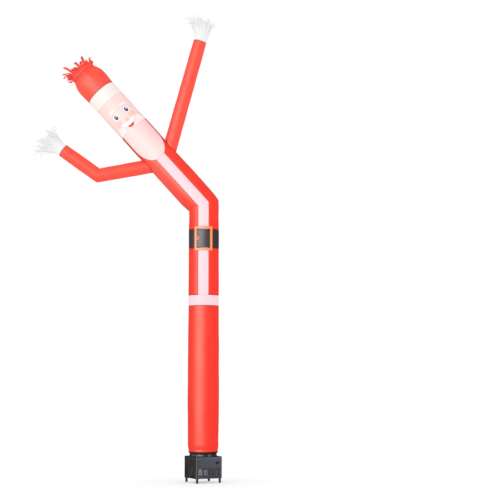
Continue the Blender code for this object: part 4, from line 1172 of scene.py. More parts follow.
# --- Sleeves ---
ELBOW_CREASES = (
    Crease(-0.062, 0.30, 0.013),
    Crease(-0.034, 0.55, 0.009),
    Crease(-0.010, 1.00, 0.007),
    Crease(0.012, 0.90, 0.007),
    Crease(0.036, 0.50, 0.009),
    Crease(0.066, 0.25, 0.013),
)
BENT_IN_BODY = 0.13  # the mean of the bent one's
RAISED_CUT = 0.86  # the raised one's mean length outside it
ELBOW_CORNER = 0.0026  # how far the cloth draws in round the outside of the elbow
ELBOW_CORNER_REACH = 0.020
SLEEVE_BILLOWS = ((0.6, 0.23, 2, 0.0), (0.4, 0.15, -1, 0.0))
SLEEVE_COLUMNS = 72
SLEEVE_ROW_PITCH = 0.0075
SLEEVE_BILLOW = 0.7  # shares of the body's billows and of its back seam's relief
SLEEVE_SEAM = 0.8
ROOT_PROUD = 0.0004  # a sleeve starts this far outside the plain body

# How a sleeve's ends draw in and pucker: heights, with how far they reach along it
SleeveEnd = namedtuple("SleeveEnd", "draw pucker seed waves")
SLEEVE_ROOT = SleeveEnd((0.0012, 0.007), (0.0011, 0.030), 1.9, (11, 16, 23))
SLEEVE_CUFF = SleeveEnd((0.0010, 0.006), (0.0006, 0.016), 5.3, (17, 26, 37))


def root_station(heading, angle, radius):
    """Distance from the shoulder point, along a sleeve, at which a line of it comes out of the body:
    the line's parts square to the body's axis, squared and summed, equal the body's radius squared,
    and the larger root of that quadratic is taken."""
    along, axis = heading_vector(heading), heading_vector(LEAN)
    side = np.array((math.cos(heading), 0.0, math.sin(heading)))
    turn = angle[..., None]
    off = radius * (np.sin(turn) * side - np.cos(turn) * np.array((0.0, 1.0, 0.0)))
    step = along - (along @ axis) * axis
    start = off - (off @ axis)[..., None] * axis
    a = step @ step
    b = start @ step
    c = (start * start).sum(-1) - (UPPER_RADIUS + ROOT_PROUD) ** 2
    return (-b + np.sqrt(b * b - a * c)) / a


def sleeve_sheet(name, limb, heading, reach, total, creases=()):
    """A sleeve from the line where it leaves the body to its cuff, narrowing evenly. reach is the
    limb's station at the shoulder point, and total the sleeve's length along its axis from there."""
    cloth = bpy.context.scene.dancer_cloth
    angle = ring_angles(SLEEVE_COLUMNS)
    root = root_station(heading, angle, SLEEVE_ROOT_RADIUS)
    near = np.array((0.0, 0.0018, 0.0040, 0.0070, 0.0110, 0.0160, 0.0230))
    even = np.linspace(0.0, 1.0, round((total - 0.12) / SLEEVE_ROW_PITCH))
    cuff = np.array((0.0125, 0.0090, 0.0060, 0.0036, 0.0016, 0.0))
    start, end = near[-1] + 0.008, cuff[0] + 0.006
    body_rows = (root + start) + (total - end - root - start) * even[:, None]
    out = np.concatenate((root + near[:, None], body_rows, total - cuff[:, None] + 0 * angle))
    station = out + reach
    plain = SLEEVE_ROOT_RADIUS + (SLEEVE_CUFF_RADIUS - SLEEVE_ROOT_RADIUS) * out / total
    relief = SLEEVE_BILLOW * cloth.billow * billows(station, angle, SLEEVE_BILLOWS)
    from_root, from_cuff = out - root, total - out
    for sewn, off in ((SLEEVE_ROOT, from_root), (SLEEVE_CUFF, from_cuff)):
        relief -= fading(off, *sewn.draw)
        relief += fading(off, *sewn.pucker) * ripple(angle, sewn.seed, sewn.waves)
    if creases:
        inner = np.maximum(0.0, np.sin(angle))
        outer = np.maximum(0.0, -np.sin(angle))
        relief -= cloth.elbow_crease * crease_relief(station, creases) * inner**1.5
        relief -= ELBOW_CORNER * np.exp(-((station / ELBOW_CORNER_REACH) ** 2)) * outer**1.4
    seam = (math.pi - np.abs(angle)) * SLEEVE_ROOT_RADIUS
    relief += SLEEVE_SEAM * back_relief(seam, station)
    edges = (np.minimum(from_root, from_cuff), seam)
    return panel(name, station, angle, plain + relief, True, edges, limb=limb)


class DANCER_OT_sleeves(bpy.types.Operator):
    """Builds the raised sleeve and the bent one, from the coat's shoulder seams to their cuffs"""

    bl_idname = "dancer.sleeves"
    bl_label = "Sleeves"

    def execute(self, context):
        whole = UPPER_ARM_LENGTH + FOREARM_LENGTH
        raised = (RAISED_ARM, RAISED_HEADING, 0.0, RAISED_LENGTH)
        bent = (BENT_ARM, UPPER_ARM_HEADING, -UPPER_ARM_LENGTH, whole, ELBOW_CREASES)
        # each sleeve's length from the shoulder point, and its mean length outside the body
        for side, shape, long, cut in (
            ("raised", raised, RAISED_LENGTH, RAISED_CUT),
            ("bent", bent, whole, whole - BENT_IN_BODY),
        ):
            made = sleeve_sheet(f"{side}_sleeve", *shape)
            nodes = (f"sleeve_{side}", f"forearm_{side}")
            place_sheet(made, "red_nylon", "upper nylon", nodes)
        return {"FINISHED"}


# --- Buckle ---
EDGE_SLACK = 1e-6  # so that rows and columns on an edge count as on it
NO_SEAMS = (1.0, 1.0)  # far from any stitched edge
PRONG_EDGE = 0.0045  # width of the prong's ring
PRONG_ROOT = 0.0035  # how far the ring reaches back over the frame's side
PRONG_PROUD = 0.0009
PRONG_SETBACK = 0.004
BUCKLE_PROUD = 0.0019
BUCKLE_BILLOWS = ((0.0003, 0.09, 3, 0.0),)


def buckle_radius(station, angle):
    """The buckle lies on the cloth with its own soft bow, just proud of the belt's seams."""
    return LOWER_RADIUS + BUCKLE_PROUD + billows(station, angle, BUCKLE_BILLOWS)


def bars_between(edges, counts):
    """Places from edge to edge, with a count of even steps between each two."""
    steps = [np.linspace(a, b, n, endpoint=False) for a, b, n in zip(edges, edges[1:], counts)]
    return np.concatenate((*steps, edges[-1:]))


def frame_bars(x, z, x_edges, z_edges):
    """Which points of a grid are on the frame's bars, and how far they are from the bars' edges:
    along a bar from its own two edges, and in a corner from the frame's outer ones."""
    in_side = (x <= x_edges[1] + EDGE_SLACK) | (x >= x_edges[2] - EDGE_SLACK)
    in_end = (z <= z_edges[1] + EDGE_SLACK) | (z >= z_edges[2] - EDGE_SLACK)
    beside = np.minimum.reduce([np.abs(x - edge) for edge in x_edges])
    above = np.minimum.reduce([np.abs(z - edge) for edge in z_edges])
    from_side = np.minimum(x - x_edges[0], x_edges[3] - x)
    corner = np.minimum(from_side, np.minimum(z - z_edges[0], z_edges[3] - z))
    rim = np.where(in_side & in_end, corner, np.where(in_side, beside, above))
    return in_side | in_end, rim


class DANCER_OT_buckle(bpy.types.Operator):
    """Builds the belt's flat buckle: a frame bent round the belt, and the prong's small ring"""

    bl_idname = "dancer.buckle"
    bl_label = "Buckle"

    def execute(self, context):
        inner = BUCKLE_HALF_WIDTH - BUCKLE_BAR
        low, high = BELT_BOTTOM - BUCKLE_OVERLAP, BELT_TOP + BUCKLE_OVERLAP
        x_edges = (-BUCKLE_HALF_WIDTH, -inner, inner, BUCKLE_HALF_WIDTH)
        z_edges = (low, low + BUCKLE_BAR, high - BUCKLE_BAR, high)
        across = bars_between(x_edges, (8, 40, 8))[None, :]
        station = bars_between(z_edges, (8, 56, 8))[:, None]
        on_bar, rim = frame_bars(across, station, x_edges, z_edges)
        keep = on_bar[:-1, :-1] & on_bar[1:, 1:] & on_bar[:-1, 1:] & on_bar[1:, :-1]
        angle = np.arcsin(across / LOWER_RADIUS)
        radius = buckle_radius(station, angle)
        marks = {"bar_edge": rim}
        made = panel("buckle_frame", station, angle, radius, False, NO_SEAMS, keep=keep, marks=marks)
        place_sheet(made, "gold_nylon", "buckle nylon", ("buckle",))

        turn = np.linspace(0, TAU, 48, endpoint=False)
        share = np.linspace(0.0, 1.0, 4)[:, None]
        c, s, inset = np.cos(turn), np.sin(turn), PRONG_EDGE * share
        root = (c < 0) * (PRONG_ROOT - inset)
        x = np.maximum(0.0, c) ** 0.55 * (PRONG_LENGTH - inset - PRONG_SETBACK) - root - inner
        half = PRONG_HEIGHT / 2 - inset
        z = (BELT_BOTTOM + BELT_TOP) / 2 + half * np.sign(s) * np.abs(s) ** 0.8
        angle = np.arcsin(x / LOWER_RADIUS)
        radius = buckle_radius(z, angle) + PRONG_PROUD
        marks = {"bar_edge": np.minimum(share, 1 - share) * PRONG_EDGE + PRONG_ROOT}
        prong = panel("buckle_prong", z, angle, radius, True, NO_SEAMS, marks=marks)
        place_sheet(prong, "gold_nylon", "buckle nylon", ())
        return {"FINISHED"}


# --- Fringes ---
# length, turn, curl and twist are of a fringe's ribbons, and length_share and turn_share say how
# unevenly; band is the strip that they are cut from, drift bends them all to one side, and
# uneven_cut shortens those towards +X
Fringe = namedtuple(
    "Fringe",
    "limb station radius strands band length length_share turn turn_share drift curl twist uneven_cut",
)
HAT_FRINGE = Fringe(
    limb=BODY, station=HAT_TOP + SEAM_GAP, radius=0.0995, strands=28, band=0.010,
    length=0.108, length_share=0.34, turn=0.42, turn_share=0.95, drift=-0.008,
    curl=1.8, twist=1.0, uneven_cut=0.45,
)
RAISED_FRINGE = Fringe(
    limb=RAISED_ARM, station=RAISED_LENGTH + SEAM_GAP, radius=0.0490, strands=22, band=0.012,
    length=0.170, length_share=0.08, turn=0.27, turn_share=0.60, drift=-0.040,
    curl=0.9, twist=0.25, uneven_cut=0.0,
)
BENT_FRINGE = RAISED_FRINGE._replace(
    limb=BENT_ARM, station=FOREARM_LENGTH + SEAM_GAP, length=0.180, length_share=0.10,
    turn=0.35, turn_share=0.64, drift=-0.030,
)

# A fringe's layers: how far the ribbons are shifted round, as a share of a ribbon's place, their
# shares of that place's width and of the fringe's length, and the start of their unevenness
Layer = namedtuple("Layer", "shift width_share length_share seed")
HAIR = (Layer(0.0, 1.20, 0.92, 1.0), Layer(0.5, 1.05, 0.62, 9.0), Layer(0.25, 0.9, 0.42, 14.0))
HAND = (Layer(0.0, 2.1, 1.0, 1.0), Layer(0.5, 2.1, 0.90, 9.0), Layer(0.25, 2.0, 0.74, 14.0))

STRAND_SHARE = 0.78  # of a ribbon's place that its cloth is cut as wide as
STRAND_SWAY = 0.007
STRAND_TWIST = math.radians(50)
LAYER_STEP = 0.0012  # from the outer layer of ribbons to the next
TIP_TAPER = 0.25  # shares by which a ribbon narrows at its tip and at its root
ROOT_TAPER = 0.2
RIBBON_ROWS = 22
RIBBON_COLUMNS = 5
BAND_ROWS = 4


def uneven(index, seed):
    """A repeatable number from -1 to 1 for each strand."""
    return np.sin(12.9898 * index + 78.233 * seed) * np.cos(4.1414 * index * (seed + 1))


def ribbon_layer(shape, layer):
    """The ribbons of one layer, as points (strand, row, column). A ribbon's slope away from the
    tube's axis grows quickly to its own turn and stays there, and its tip rolls over. Its place is
    the running sum of the slope's sine and cosine. It twists, sways and drifts across the limb."""
    fringe = bpy.context.scene.dancer_fringe
    strand = np.arange(shape.strands)[:, None, None]
    along = np.linspace(0, 1, RIBBON_ROWS)[None, :, None]
    side = np.linspace(-1, 1, RIBBON_COLUMNS)[None, None, :]
    angle = TAU * (strand + STRAND_SHARE / 2 + layer.shift) / shape.strands

    def each(step):
        return uneven(strand, layer.seed + step)

    size = shape.length * layer.length_share * (1 + shape.length_share * each(0))
    size = size * (1 - shape.uneven_cut * np.maximum(np.sin(angle), 0) ** 2)
    turn = shape.turn * (1 + shape.turn_share * each(1))
    curl = fringe.tip_curl * (0.30 + 0.95 * each(5)) * shape.curl
    waves = 0.30 * shape.curl * np.sin(TAU * along * (1.6 + each(8)) + 3 * strand)
    middle = (along[:, 1:] + along[:, :-1]) / 2
    slope = turn * (1 - (1 - middle) ** 3) + curl * middle**4
    slope = slope + (waves[:, 1:] + waves[:, :-1]) / 2 * middle
    steps = size * np.stack((np.sin(slope), np.cos(slope))) / (RIBBON_ROWS - 1)
    climbed = np.concatenate((np.zeros_like(steps[:, :, :1]), np.cumsum(steps, 2)), 2)

    root = math.pi * STRAND_SHARE * shape.radius / shape.strands * layer.width_share
    half = side * root * (1 - TIP_TAPER * smooth_step((along - 0.84) / 0.16))
    half = half * (1 - ROOT_TAPER * smooth_step(1 - along / 0.15))
    twist = shape.twist * (STRAND_TWIST * each(2) * along + 1.2 * each(9) * along**2)
    cup = fringe.cup * (1 - side * side) * smooth_step(along / 0.2) * each(7)
    outward = shape.radius + LAYER_STEP * (1 - 2 * layer.shift) + climbed[0]
    outward = outward + half * np.sin(twist) + cup * np.cos(twist)
    sideways = half * np.cos(twist) + STRAND_SWAY * each(3) * along**2
    station = shape.station + 0.002 + shape.band * smooth_step(along / 0.10) + climbed[1] + 0 * side
    points = limb_points(shape.limb, station, angle + sideways / outward, outward)
    heading = shape.limb.heading_after
    across = np.array((math.cos(heading), 0.0, math.sin(heading)))
    points = points + across * (shape.drift * along**1.7)[..., None]
    shade = (0.5 + 0.5 * each(4)) * along + 0 * side
    return points, np.clip(shade, 0, 1)


def fringe_sheet(name, shape, layers):
    """All ribbons of a fringe and the narrow strip that they are cut from."""
    columns = 2 * shape.strands
    angle = TAU * np.arange(columns)[None, :] / columns
    rows = np.linspace(0, shape.band, BAND_ROWS)[:, None]
    gathers = 0.0006 * ripple(angle, 2.2, (13, 21, 34)) * rows / shape.band
    band = limb_points(shape.limb, shape.station + rows, angle, shape.radius - LAYER_STEP + gathers)
    points = [band.reshape(-1, 3)]
    faces = [grid_faces(BAND_ROWS, columns, True)]
    shade = [np.zeros(BAND_ROWS * columns)]
    cells = grid_faces(RIBBON_ROWS, RIBBON_COLUMNS, False)
    size = RIBBON_ROWS * RIBBON_COLUMNS
    for number, layer in enumerate(layers):
        placed, tone = ribbon_layer(shape, layer)
        first = len(points[0]) + size * shape.strands * number
        starts = first + size * np.arange(shape.strands)[:, None, None]
        faces.append((cells[None] + starts).reshape(-1, 4))
        points.append(placed.reshape(-1, 3))
        shade.append(tone.reshape(-1))
    marks = {"strand_shade": np.concatenate(shade)}
    made = new_object(name, np.concatenate(points), np.concatenate(faces), None, marks)
    thicken(made, bpy.context.scene.dancer_fringe.thickness)
    return made


class DANCER_OT_fringes(bpy.types.Operator):
    """Builds the hat's red fringe and the sheer white hands, in three layers of ribbons each"""

    bl_idname = "dancer.fringes"
    bl_label = "Fringes"

    def execute(self, context):
        for name, shape, layers, slot, finish, node in (
            ("hat_ribbons", HAT_FRINGE, HAIR, "red_nylon", "hat ribbon", "hat_fringe"),
            ("raised_hand", RAISED_FRINGE, HAND, "strand_white", "hand ribbon", "hand_raised"),
            ("bent_hand", BENT_FRINGE, HAND, "strand_white", "hand ribbon", "hand_bent"),
        ):
            made = fringe_sheet(name, shape, layers)
            place_sheet(made, slot, finish, (node,))
        return {"FINISHED"}


# --- Turned pieces ---
def rounded_profile(corners, steps=4):
    """A profile of (radius, height, rounding) corners, each replaced by a quadratic curve that
    starts and ends its rounding away from the corner."""
    made = []
    for k, (radius, height, rounding) in enumerate(corners):
        here = np.array((radius, height))
        if rounding <= 0 or k in (0, len(corners) - 1):
            made.append(here[None])
            continue
        before = np.array(corners[k - 1][:2]) - here
        after = np.array(corners[k + 1][:2]) - here
        reach = min(rounding, np.linalg.norm(before) / 2.01, np.linalg.norm(after) / 2.01)
        start = here + before / np.linalg.norm(before) * reach
        end = here + after / np.linalg.norm(after) * reach
        t = np.linspace(0, 1, steps + 1)[:, None]
        made.append((1 - t) ** 2 * start + 2 * t * (1 - t) * here + t**2 * end)
    return np.concatenate(made)


def capped_faces(rows, columns, forwards=True):
    """The cells of a closed grid and the fans over its ends, whose centres are two more points."""
    count = rows * columns
    sides = grid_faces(rows, columns, True)
    first = end_fan(count, 0, columns, not forwards)
    last = end_fan(count + 1, count - columns, columns, forwards)
    return np.concatenate((sides if forwards else sides[:, ::-1], first, last))


def turned_object(name, corners, steps, sharp_angle, ring=False, place=None):
    """A turned solid: its profile carried round the Z axis, row after row of a closed grid. The
    profile runs up its outer side; a ring's profile closes on itself, and another one's ends are
    by the axis, where the rows close in a fan. place moves the whole array of points."""
    profile = rounded_profile(corners)
    turn = TAU * np.arange(steps) / steps
    radius, height = profile[:, :1], profile[:, 1:]
    flat = np.broadcast_arrays(radius * np.cos(turn), radius * np.sin(turn), height + 0 * turn)
    points = np.stack(flat, -1).reshape(-1, 3)
    if ring:
        faces = grid_faces(len(profile), steps, True, joined=True)
    else:
        points = np.concatenate((points, ((0, 0, profile[0, 1]), (0, 0, profile[-1, 1]))))
        faces = capped_faces(len(profile), steps)
    return new_object(name, place(points) if place else points, faces, sharp_angle=sharp_angle)


class DANCER_OT_duct(bpy.types.Operator):
    """Builds the duct: flange, groove and lip outside, throat inside"""

    bl_idname = "dancer.duct"
    bl_label = "Duct"

    def execute(self, context):
        low = HOUSING_HEIGHT + FIT_GAP
        corners = (
            (THROAT_RADIUS, THROAT_BOTTOM, 0.0),
            (THROAT_RADIUS + 0.003, THROAT_BOTTOM, 0.0008),
            (THROAT_RADIUS + 0.003, low, 0.0),
            (FLANGE_RADIUS, low, 0.0006),
            (FLANGE_RADIUS, low + 0.0085, 0.0010),
            (FLANGE_RADIUS - 0.0022, low + 0.0100, 0.0008),
            (FLANGE_RADIUS - 0.0024, low + 0.0145, 0.0012),
            (GROOVE_RADIUS, low + 0.0165, 0.0020),
            (GROOVE_RADIUS, LIP_LOW - 0.0010, 0.0015),
            (LIP_RADIUS - 0.0030, LIP_LOW, 0.0012),
            (LIP_RADIUS, LIP_LOW + 0.0045, 0.0025),
            (LIP_RADIUS, LIP_TOP, 0.0016),
            (LIP_RADIUS - 0.0040, LIP_TOP, 0.0016),
            (THROAT_RADIUS, GUARD_HEIGHT + 0.0045, 0.0060),
            (THROAT_RADIUS, THROAT_BOTTOM + 0.001, 0.0),
        )
        duct = turned_object("duct_collar", corners, 144, 40, ring=True)
        place_piece(duct, "duct_black", "duct plastic", "duct")
        return {"FINISHED"}


class DANCER_OT_feet(bpy.types.Operator):
    """Builds the four round feet, each with a collar under the housing and a soft pad"""

    bl_idname = "dancer.feet"
    bl_label = "Feet"

    def execute(self, context):
        r, low = FOOT_RADIUS, -FOOT_HEIGHT
        corners = (
            (0.0005, low, 0.0),
            (r - 0.0012, low, 0.0010),
            (r, low + 0.0012, 0.0010),
            (r, low + 0.0060, 0.0004),
            (r - 0.0009, low + 0.0066, 0.0004),
            (r - 0.0009, low + 0.0074, 0.0004),
            (r - 0.0002, low + 0.0080, 0.0004),
            (r, -0.0060, 0.0008),
            (r, -FIT_GAP, 0.0004),
            (0.0005, -FIT_GAP, 0.0),
        )
        for number, (across, back) in enumerate(((-1, -1), (1, -1), (1, 1), (-1, 1)), 1):
            spot = np.array((across * FOOT_OFFSET, back * FOOT_OFFSET, 0.0))

            def place(points):
                return turn_points(points + spot, HOUSING_TURN)

            foot = turned_object(f"rubber_foot_{number}", corners, 48, 40, place=place)
            place_piece(foot, "foot_rubber", "foot rubber", f"foot_{number}")
        return {"FINISHED"}


# --- Housing ---
VENT_BOTTOM = 0.0078
VENT_SIDE_MARGIN = 0.0045  # from a flat's end to the first slot's cell
SEAM_STRIP = 0.0060  # solid strip on each side of the seam between the halves

# A slot's corners, as shares of its cell's width and height from the cell's middle
SLOT_CORNERS = np.array(((-0.21, -0.435), (0.385, -0.05655), (0.21, 0.435), (-0.385, 0.05655)))


def housing_columns(pitch):
    """Places along one half's outline, from the seam on the left side round the front to the seam
    on the right, as points, outward normals and slot zones. Flats have a place at each half pitch,
    a corner has a quarter circle, and the right side mirrors the left one."""
    half, corner = HOUSING_SIDE / 2, HOUSING_CORNER
    flat = half - corner
    side_zone = flat - SEAM_STRIP - VENT_SIDE_MARGIN
    side_cells = int(side_zone / pitch)
    front_cells = int((2 * flat - 2 * VENT_SIDE_MARGIN) / pitch)
    side_start = SEAM_STRIP + (side_zone - side_cells * pitch) / 2
    side_places = side_start + pitch / 2 * np.arange(2 * side_cells + 1)
    front_places = pitch / 2 * (np.arange(2 * front_cells + 1) - front_cells)

    arc = np.radians(np.linspace(0, 90, 9))
    corner_normals = -np.column_stack((np.cos(arc), np.sin(arc)))
    side_y = -np.append(FIT_GAP / 2, side_places)
    side = np.column_stack((np.full(len(side_y), -half), side_y))
    left = np.concatenate((side, corner * corner_normals - flat))
    left_normals = np.concatenate((np.tile((-1.0, 0.0), (len(side), 1)), corner_normals))
    front = np.column_stack((front_places, np.full(len(front_places), -half)))
    front_normals = np.tile((0.0, -1.0), (len(front), 1))
    zones = np.zeros(len(left), int)
    zones[1 : len(side)] = 1
    mirror = np.array((-1, 1))
    points = np.concatenate((left, front, left[::-1] * mirror))
    normals = np.concatenate((left_normals, front_normals, left_normals[::-1] * mirror))
    return points, normals, np.concatenate((zones, np.full(len(front), 2), 3 * zones[::-1]))


def housing_rows(outline, normal, row_pitch, count):
    """The grid of a half: its outline carried up the vents' rows and the plain wall, over the
    rounded upper edge, whose inset and rise are one less the cosine and the sine of its turn, and
    in to the round mouth."""
    edge, vents_top = HOUSING_TOP_EDGE, VENT_BOTTOM + count * row_pitch
    turn = np.radians(np.linspace(0, 90, 7))[1:]
    vents = VENT_BOTTOM + row_pitch * np.arange(count + 1)
    wall = np.linspace(vents_top, HOUSING_HEIGHT - edge, 5)[1:]
    heights = np.concatenate(((0.0,), vents, wall, HOUSING_HEIGHT - edge + edge * np.sin(turn)))
    insets = np.concatenate((np.zeros(len(heights) - len(turn)), edge - edge * np.cos(turn)))
    flat = outline - normal * insets[:, None, None]
    tall = np.broadcast_to(heights[:, None, None], (*flat.shape[:2], 1))
    grid = np.concatenate((flat, tall), 2)
    rim = grid[-1]
    turn = np.arctan2(rim[:, 1], rim[:, 0])
    mouth = np.column_stack((MOUTH_RADIUS * np.cos(turn), MOUTH_RADIUS * np.sin(turn), rim[:, 2]))
    shares = np.array((0.34, 0.67, 1.0))[:, None, None]
    return np.concatenate((grid, rim + (mouth - rim) * shares))


def housing_shell(name, back):
    """One moulded half: its grid of rows, with staggered rows of slanted slots in the lower part of
    its flats. A slot takes two cells, whose outer corners are joined to the slot's own four."""
    blower = bpy.context.scene.dancer_blower
    pitch, row_pitch, count = blower.vent_pitch, blower.vent_row_pitch, blower.vent_rows
    outline, normal, zone = housing_columns(pitch)
    grid = housing_rows(outline, normal, row_pitch, count)
    rows, columns = grid.shape[:2]
    lower, left = [], []
    for side in (1, 2, 3):
        inside = np.flatnonzero(zone == side)
        for row in range(count):
            starts = inside[(row % 2) : -2 : 2]
            lower.append(np.full(len(starts), row + 1))
            left.append(starts)
    lower, left = np.concatenate(lower), np.concatenate(left)
    keep = np.ones((rows - 1, columns - 1), bool)
    keep[lower, left] = keep[lower, left + 1] = False

    across = grid[lower, left + 2] - grid[lower, left]
    across /= np.linalg.norm(across, axis=1)[:, None]
    up = np.array((0.0, 0.0, 1.0))
    middle = grid[lower, left + 1] + up * row_pitch / 2
    places = SLOT_CORNERS * (pitch, row_pitch)
    points = np.concatenate((grid.reshape(-1, 3), *(middle + across * x + up * z for x, z in places)))
    slots = len(left)
    first = rows * columns + np.arange(slots)
    tip_low, tip_right, tip_top, tip_left = (first + slots * c for c in range(4))
    low_left, low_middle, low_right = (lower * columns + left + c for c in range(3))
    top_left, top_middle, top_right = (v + columns for v in (low_left, low_middle, low_right))
    none = np.full(slots, -1)
    cells = (
        (low_left, low_middle, tip_low, tip_left),
        (low_middle, low_right, tip_right, tip_low),
        (top_right, top_middle, tip_top, tip_right),
        (top_middle, top_left, tip_left, tip_top),
        (low_right, top_right, tip_right, none),
        (top_left, low_left, tip_left, none),
    )
    plain = grid_faces(rows, columns, False)[keep.reshape(-1)]
    faces = np.concatenate((plain, *(np.stack(cell, -1) for cell in cells)))
    if back:
        points = turn_points(points, math.pi)
    made = new_object(name, turn_points(points, HOUSING_TURN), faces)
    thicken(made, blower.wall)
    harden(made, 40)
    return made


class DANCER_OT_housing(bpy.types.Operator):
    """Builds the two moulded halves of the blower's housing with their vent lattice"""

    bl_idname = "dancer.housing"
    bl_label = "Housing"

    def execute(self, context):
        for side, back in (("front", False), ("back", True)):
            made = housing_shell(f"housing_half_{side}", back)
            place_piece(made, "housing_black", "housing plastic", f"housing_{side}")
        return {"FINISHED"}


# --- Switch and gland ---
# The bezel's section, as shares of the way from its outline to its opening, and heights
BEZEL_SECTION = (
    (0.0, 0.0003), (0.0, 0.0016), (0.10, 0.0022), (0.30, 0.0024),
    (0.78, 0.0024), (0.93, 0.0021), (1.0, 0.0015), (1.0, 0.0003),
)
ROCKER_HALF_X = 0.0086
ROCKER_HALF_Z = 0.0061
ROCKER_FACE = 0.0022  # height of the face's hollow middle
ROCKER_LOW = -0.0048
ROCKER_DROP = 0.0006  # of its turned shape into the opening
# The rocker's rows across its width, as shares of half of it, and how far each is drawn in
ROCKER_ROWS = (
    (-1.0, 0.0007), (-0.985, 0.0002), (-0.93, 0.0),
    (0.93, 0.0), (0.985, 0.0002), (1.0, 0.0007),
)


def rounded_outline(half_x, half_z, corner, arc_steps=6):
    """Counter-clockwise rectangle with round corners, as an array of (x, z)."""
    turn = np.radians(np.linspace(0, 90, arc_steps + 1))
    parts = []
    for quarter, (sx, sz) in enumerate(((1, 1), (-1, 1), (-1, -1), (1, -1))):
        angle = turn + math.radians(90 * quarter)
        x = sx * (half_x - corner) + corner * np.cos(angle)
        z = sz * (half_z - corner) + corner * np.sin(angle)
        parts.append(np.column_stack((x, z)))
    return np.concatenate(parts)


def on_front(points):
    """Points of (across, out of the face, up) set on the housing's front face and turned with it."""
    face = -HOUSING_SIDE / 2
    placed = np.column_stack((SWITCH_X + points[:, 0], face - points[:, 1], SWITCH_Z + points[:, 2]))
    return turn_points(placed, HOUSING_TURN)


def rocker_profile():
    """The rocker's outline seen from its end: a hyperbola for its face, which is the root of a
    square and a hundredth, less a tenth, times its rise, and sides that narrow downwards."""
    half_x = ROCKER_HALF_X
    x = np.linspace(-half_x, half_x, 19)
    rise = half_x * math.tan(ROCKER_THROW) / (math.sqrt(1.01) - 0.1)
    y = ROCKER_FACE + rise * (np.sqrt((x / half_x) ** 2 + 0.01) - 0.1)
    side = ((half_x - 0.0012, ROCKER_LOW), (half_x - 0.0002, 0.0005), (half_x, y[-1] - 0.0006))
    side = np.array(side)
    face = np.column_stack((x * 0.985, y))
    return np.concatenate((side, face[::-1], side[::-1] * (-1, 1)))


class DANCER_OT_switch(bpy.types.Operator):
    """Builds the rocker switch: a bezel with soft edges and the rocker tilted in it"""

    bl_idname = "dancer.switch"
    bl_label = "Switch"

    def execute(self, context):
        outer = rounded_outline(SWITCH_WIDTH / 2, SWITCH_HEIGHT / 2, 0.0030)
        inner = rounded_outline(SWITCH_OPENING_X / 2, SWITCH_OPENING_Z / 2, 0.0008)
        share, height = np.array(BEZEL_SECTION).T[:, :, None]
        x, z = (outer[:, k] + (inner - outer)[:, k] * share for k in (0, 1))
        points = np.stack((x, height + 0 * x, z), -1).reshape(-1, 3)
        faces = grid_faces(len(BEZEL_SECTION), len(outer), True, joined=True)
        bezel = new_object("switch_frame", on_front(points), faces, sharp_angle=50)
        place_piece(bezel, "switch_black", "switch plastic", "switch_bezel")

        profile = rocker_profile()
        off = profile - (0.0, -0.001)
        inwards = off / np.linalg.norm(off, axis=1)[:, None]
        z, inset = np.array(ROCKER_ROWS).T[:, :, None]
        x, y = (profile[:, k] - inwards[:, k] * inset for k in (0, 1))
        c, s = math.cos(ROCKER_THROW), math.sin(ROCKER_THROW)
        grid = np.stack((x * c - y * s, x * s + y * c - ROCKER_DROP, ROCKER_HALF_Z * z + 0 * x), -1)
        points = np.concatenate((grid.reshape(-1, 3), grid[[0, -1]].mean(1)))
        faces = capped_faces(len(ROCKER_ROWS), len(profile), forwards=False)
        rocker = new_object("switch_rocker", on_front(points), faces, sharp_angle=35)
        place_piece(rocker, "switch_black", "rocker plastic", "rocker", body="rocker")
        return {"FINISHED"}


class DANCER_OT_gland(bpy.types.Operator):
    """Builds the closed rubber gland in the back wall, with its ribs"""

    bl_idname = "dancer.gland"
    bl_label = "Cord gland"

    def execute(self, context):
        corners = (
            (0.0003, -0.0060, 0.0),
            (0.0064, -0.0060, 0.0006),
            (0.0066, FIT_GAP, 0.0),
            (0.0095, FIT_GAP, 0.0004),
            (0.0095, 0.0022, 0.0006),
            (0.0080, 0.0030, 0.0004),
            (0.0074, 0.0024, 0.0003),
            (0.0062, 0.0038, 0.0006),
            (0.0040, 0.0040, 0.0004),
            (0.0032, 0.0033, 0.0003),
            (0.0003, 0.0033, 0.0),
        )

        def place(points):
            laid = np.column_stack((points[:, 0], points[:, 2], -points[:, 1]))
            return turn_points(laid + (INLET_X, HOUSING_SIDE / 2, INLET_Z), HOUSING_TURN)

        gland = turned_object("cord_gland", corners, 40, 45, place=place)
        place_piece(gland, "foot_rubber", "foot rubber", "cord_inlet")
        return {"FINISHED"}


INNER_WORKS = {
    "base_plate": "housing plastic",
    "guard": "guard wire",
    "lamp": "lamp plating",
    "lamp_lens": "lens plastic",
    "motor": "motor steel",
    "fan": "fan plastic",
}


class DANCER_OT_works(bpy.types.Operator):
    """Finishes the blower's inner works and base plate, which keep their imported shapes"""

    bl_idname = "dancer.works"
    bl_label = "Inner works"

    def execute(self, context):
        for node, finish in INNER_WORKS.items():
            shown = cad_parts[node]
            if not shown.data.polygons:
                raise RuntimeError(f"{node} has no faces")
            set_finish(shown, finish)
        return {"FINISHED"}


# --- Stage ---
CAMERA_PLACE = (0.355, -10.0, 0.764)
CAMERA_TILT = math.radians(90 + 5.516)
SENSOR_WIDTH = 36.0
FOCAL_SHARE = 1307 / 500  # of the sensor's width
FLOOR_GLOW = 0.45  # share of glow under the part, and how much it grows with each metre
FLOOR_GLOW_GROWTH = 0.9

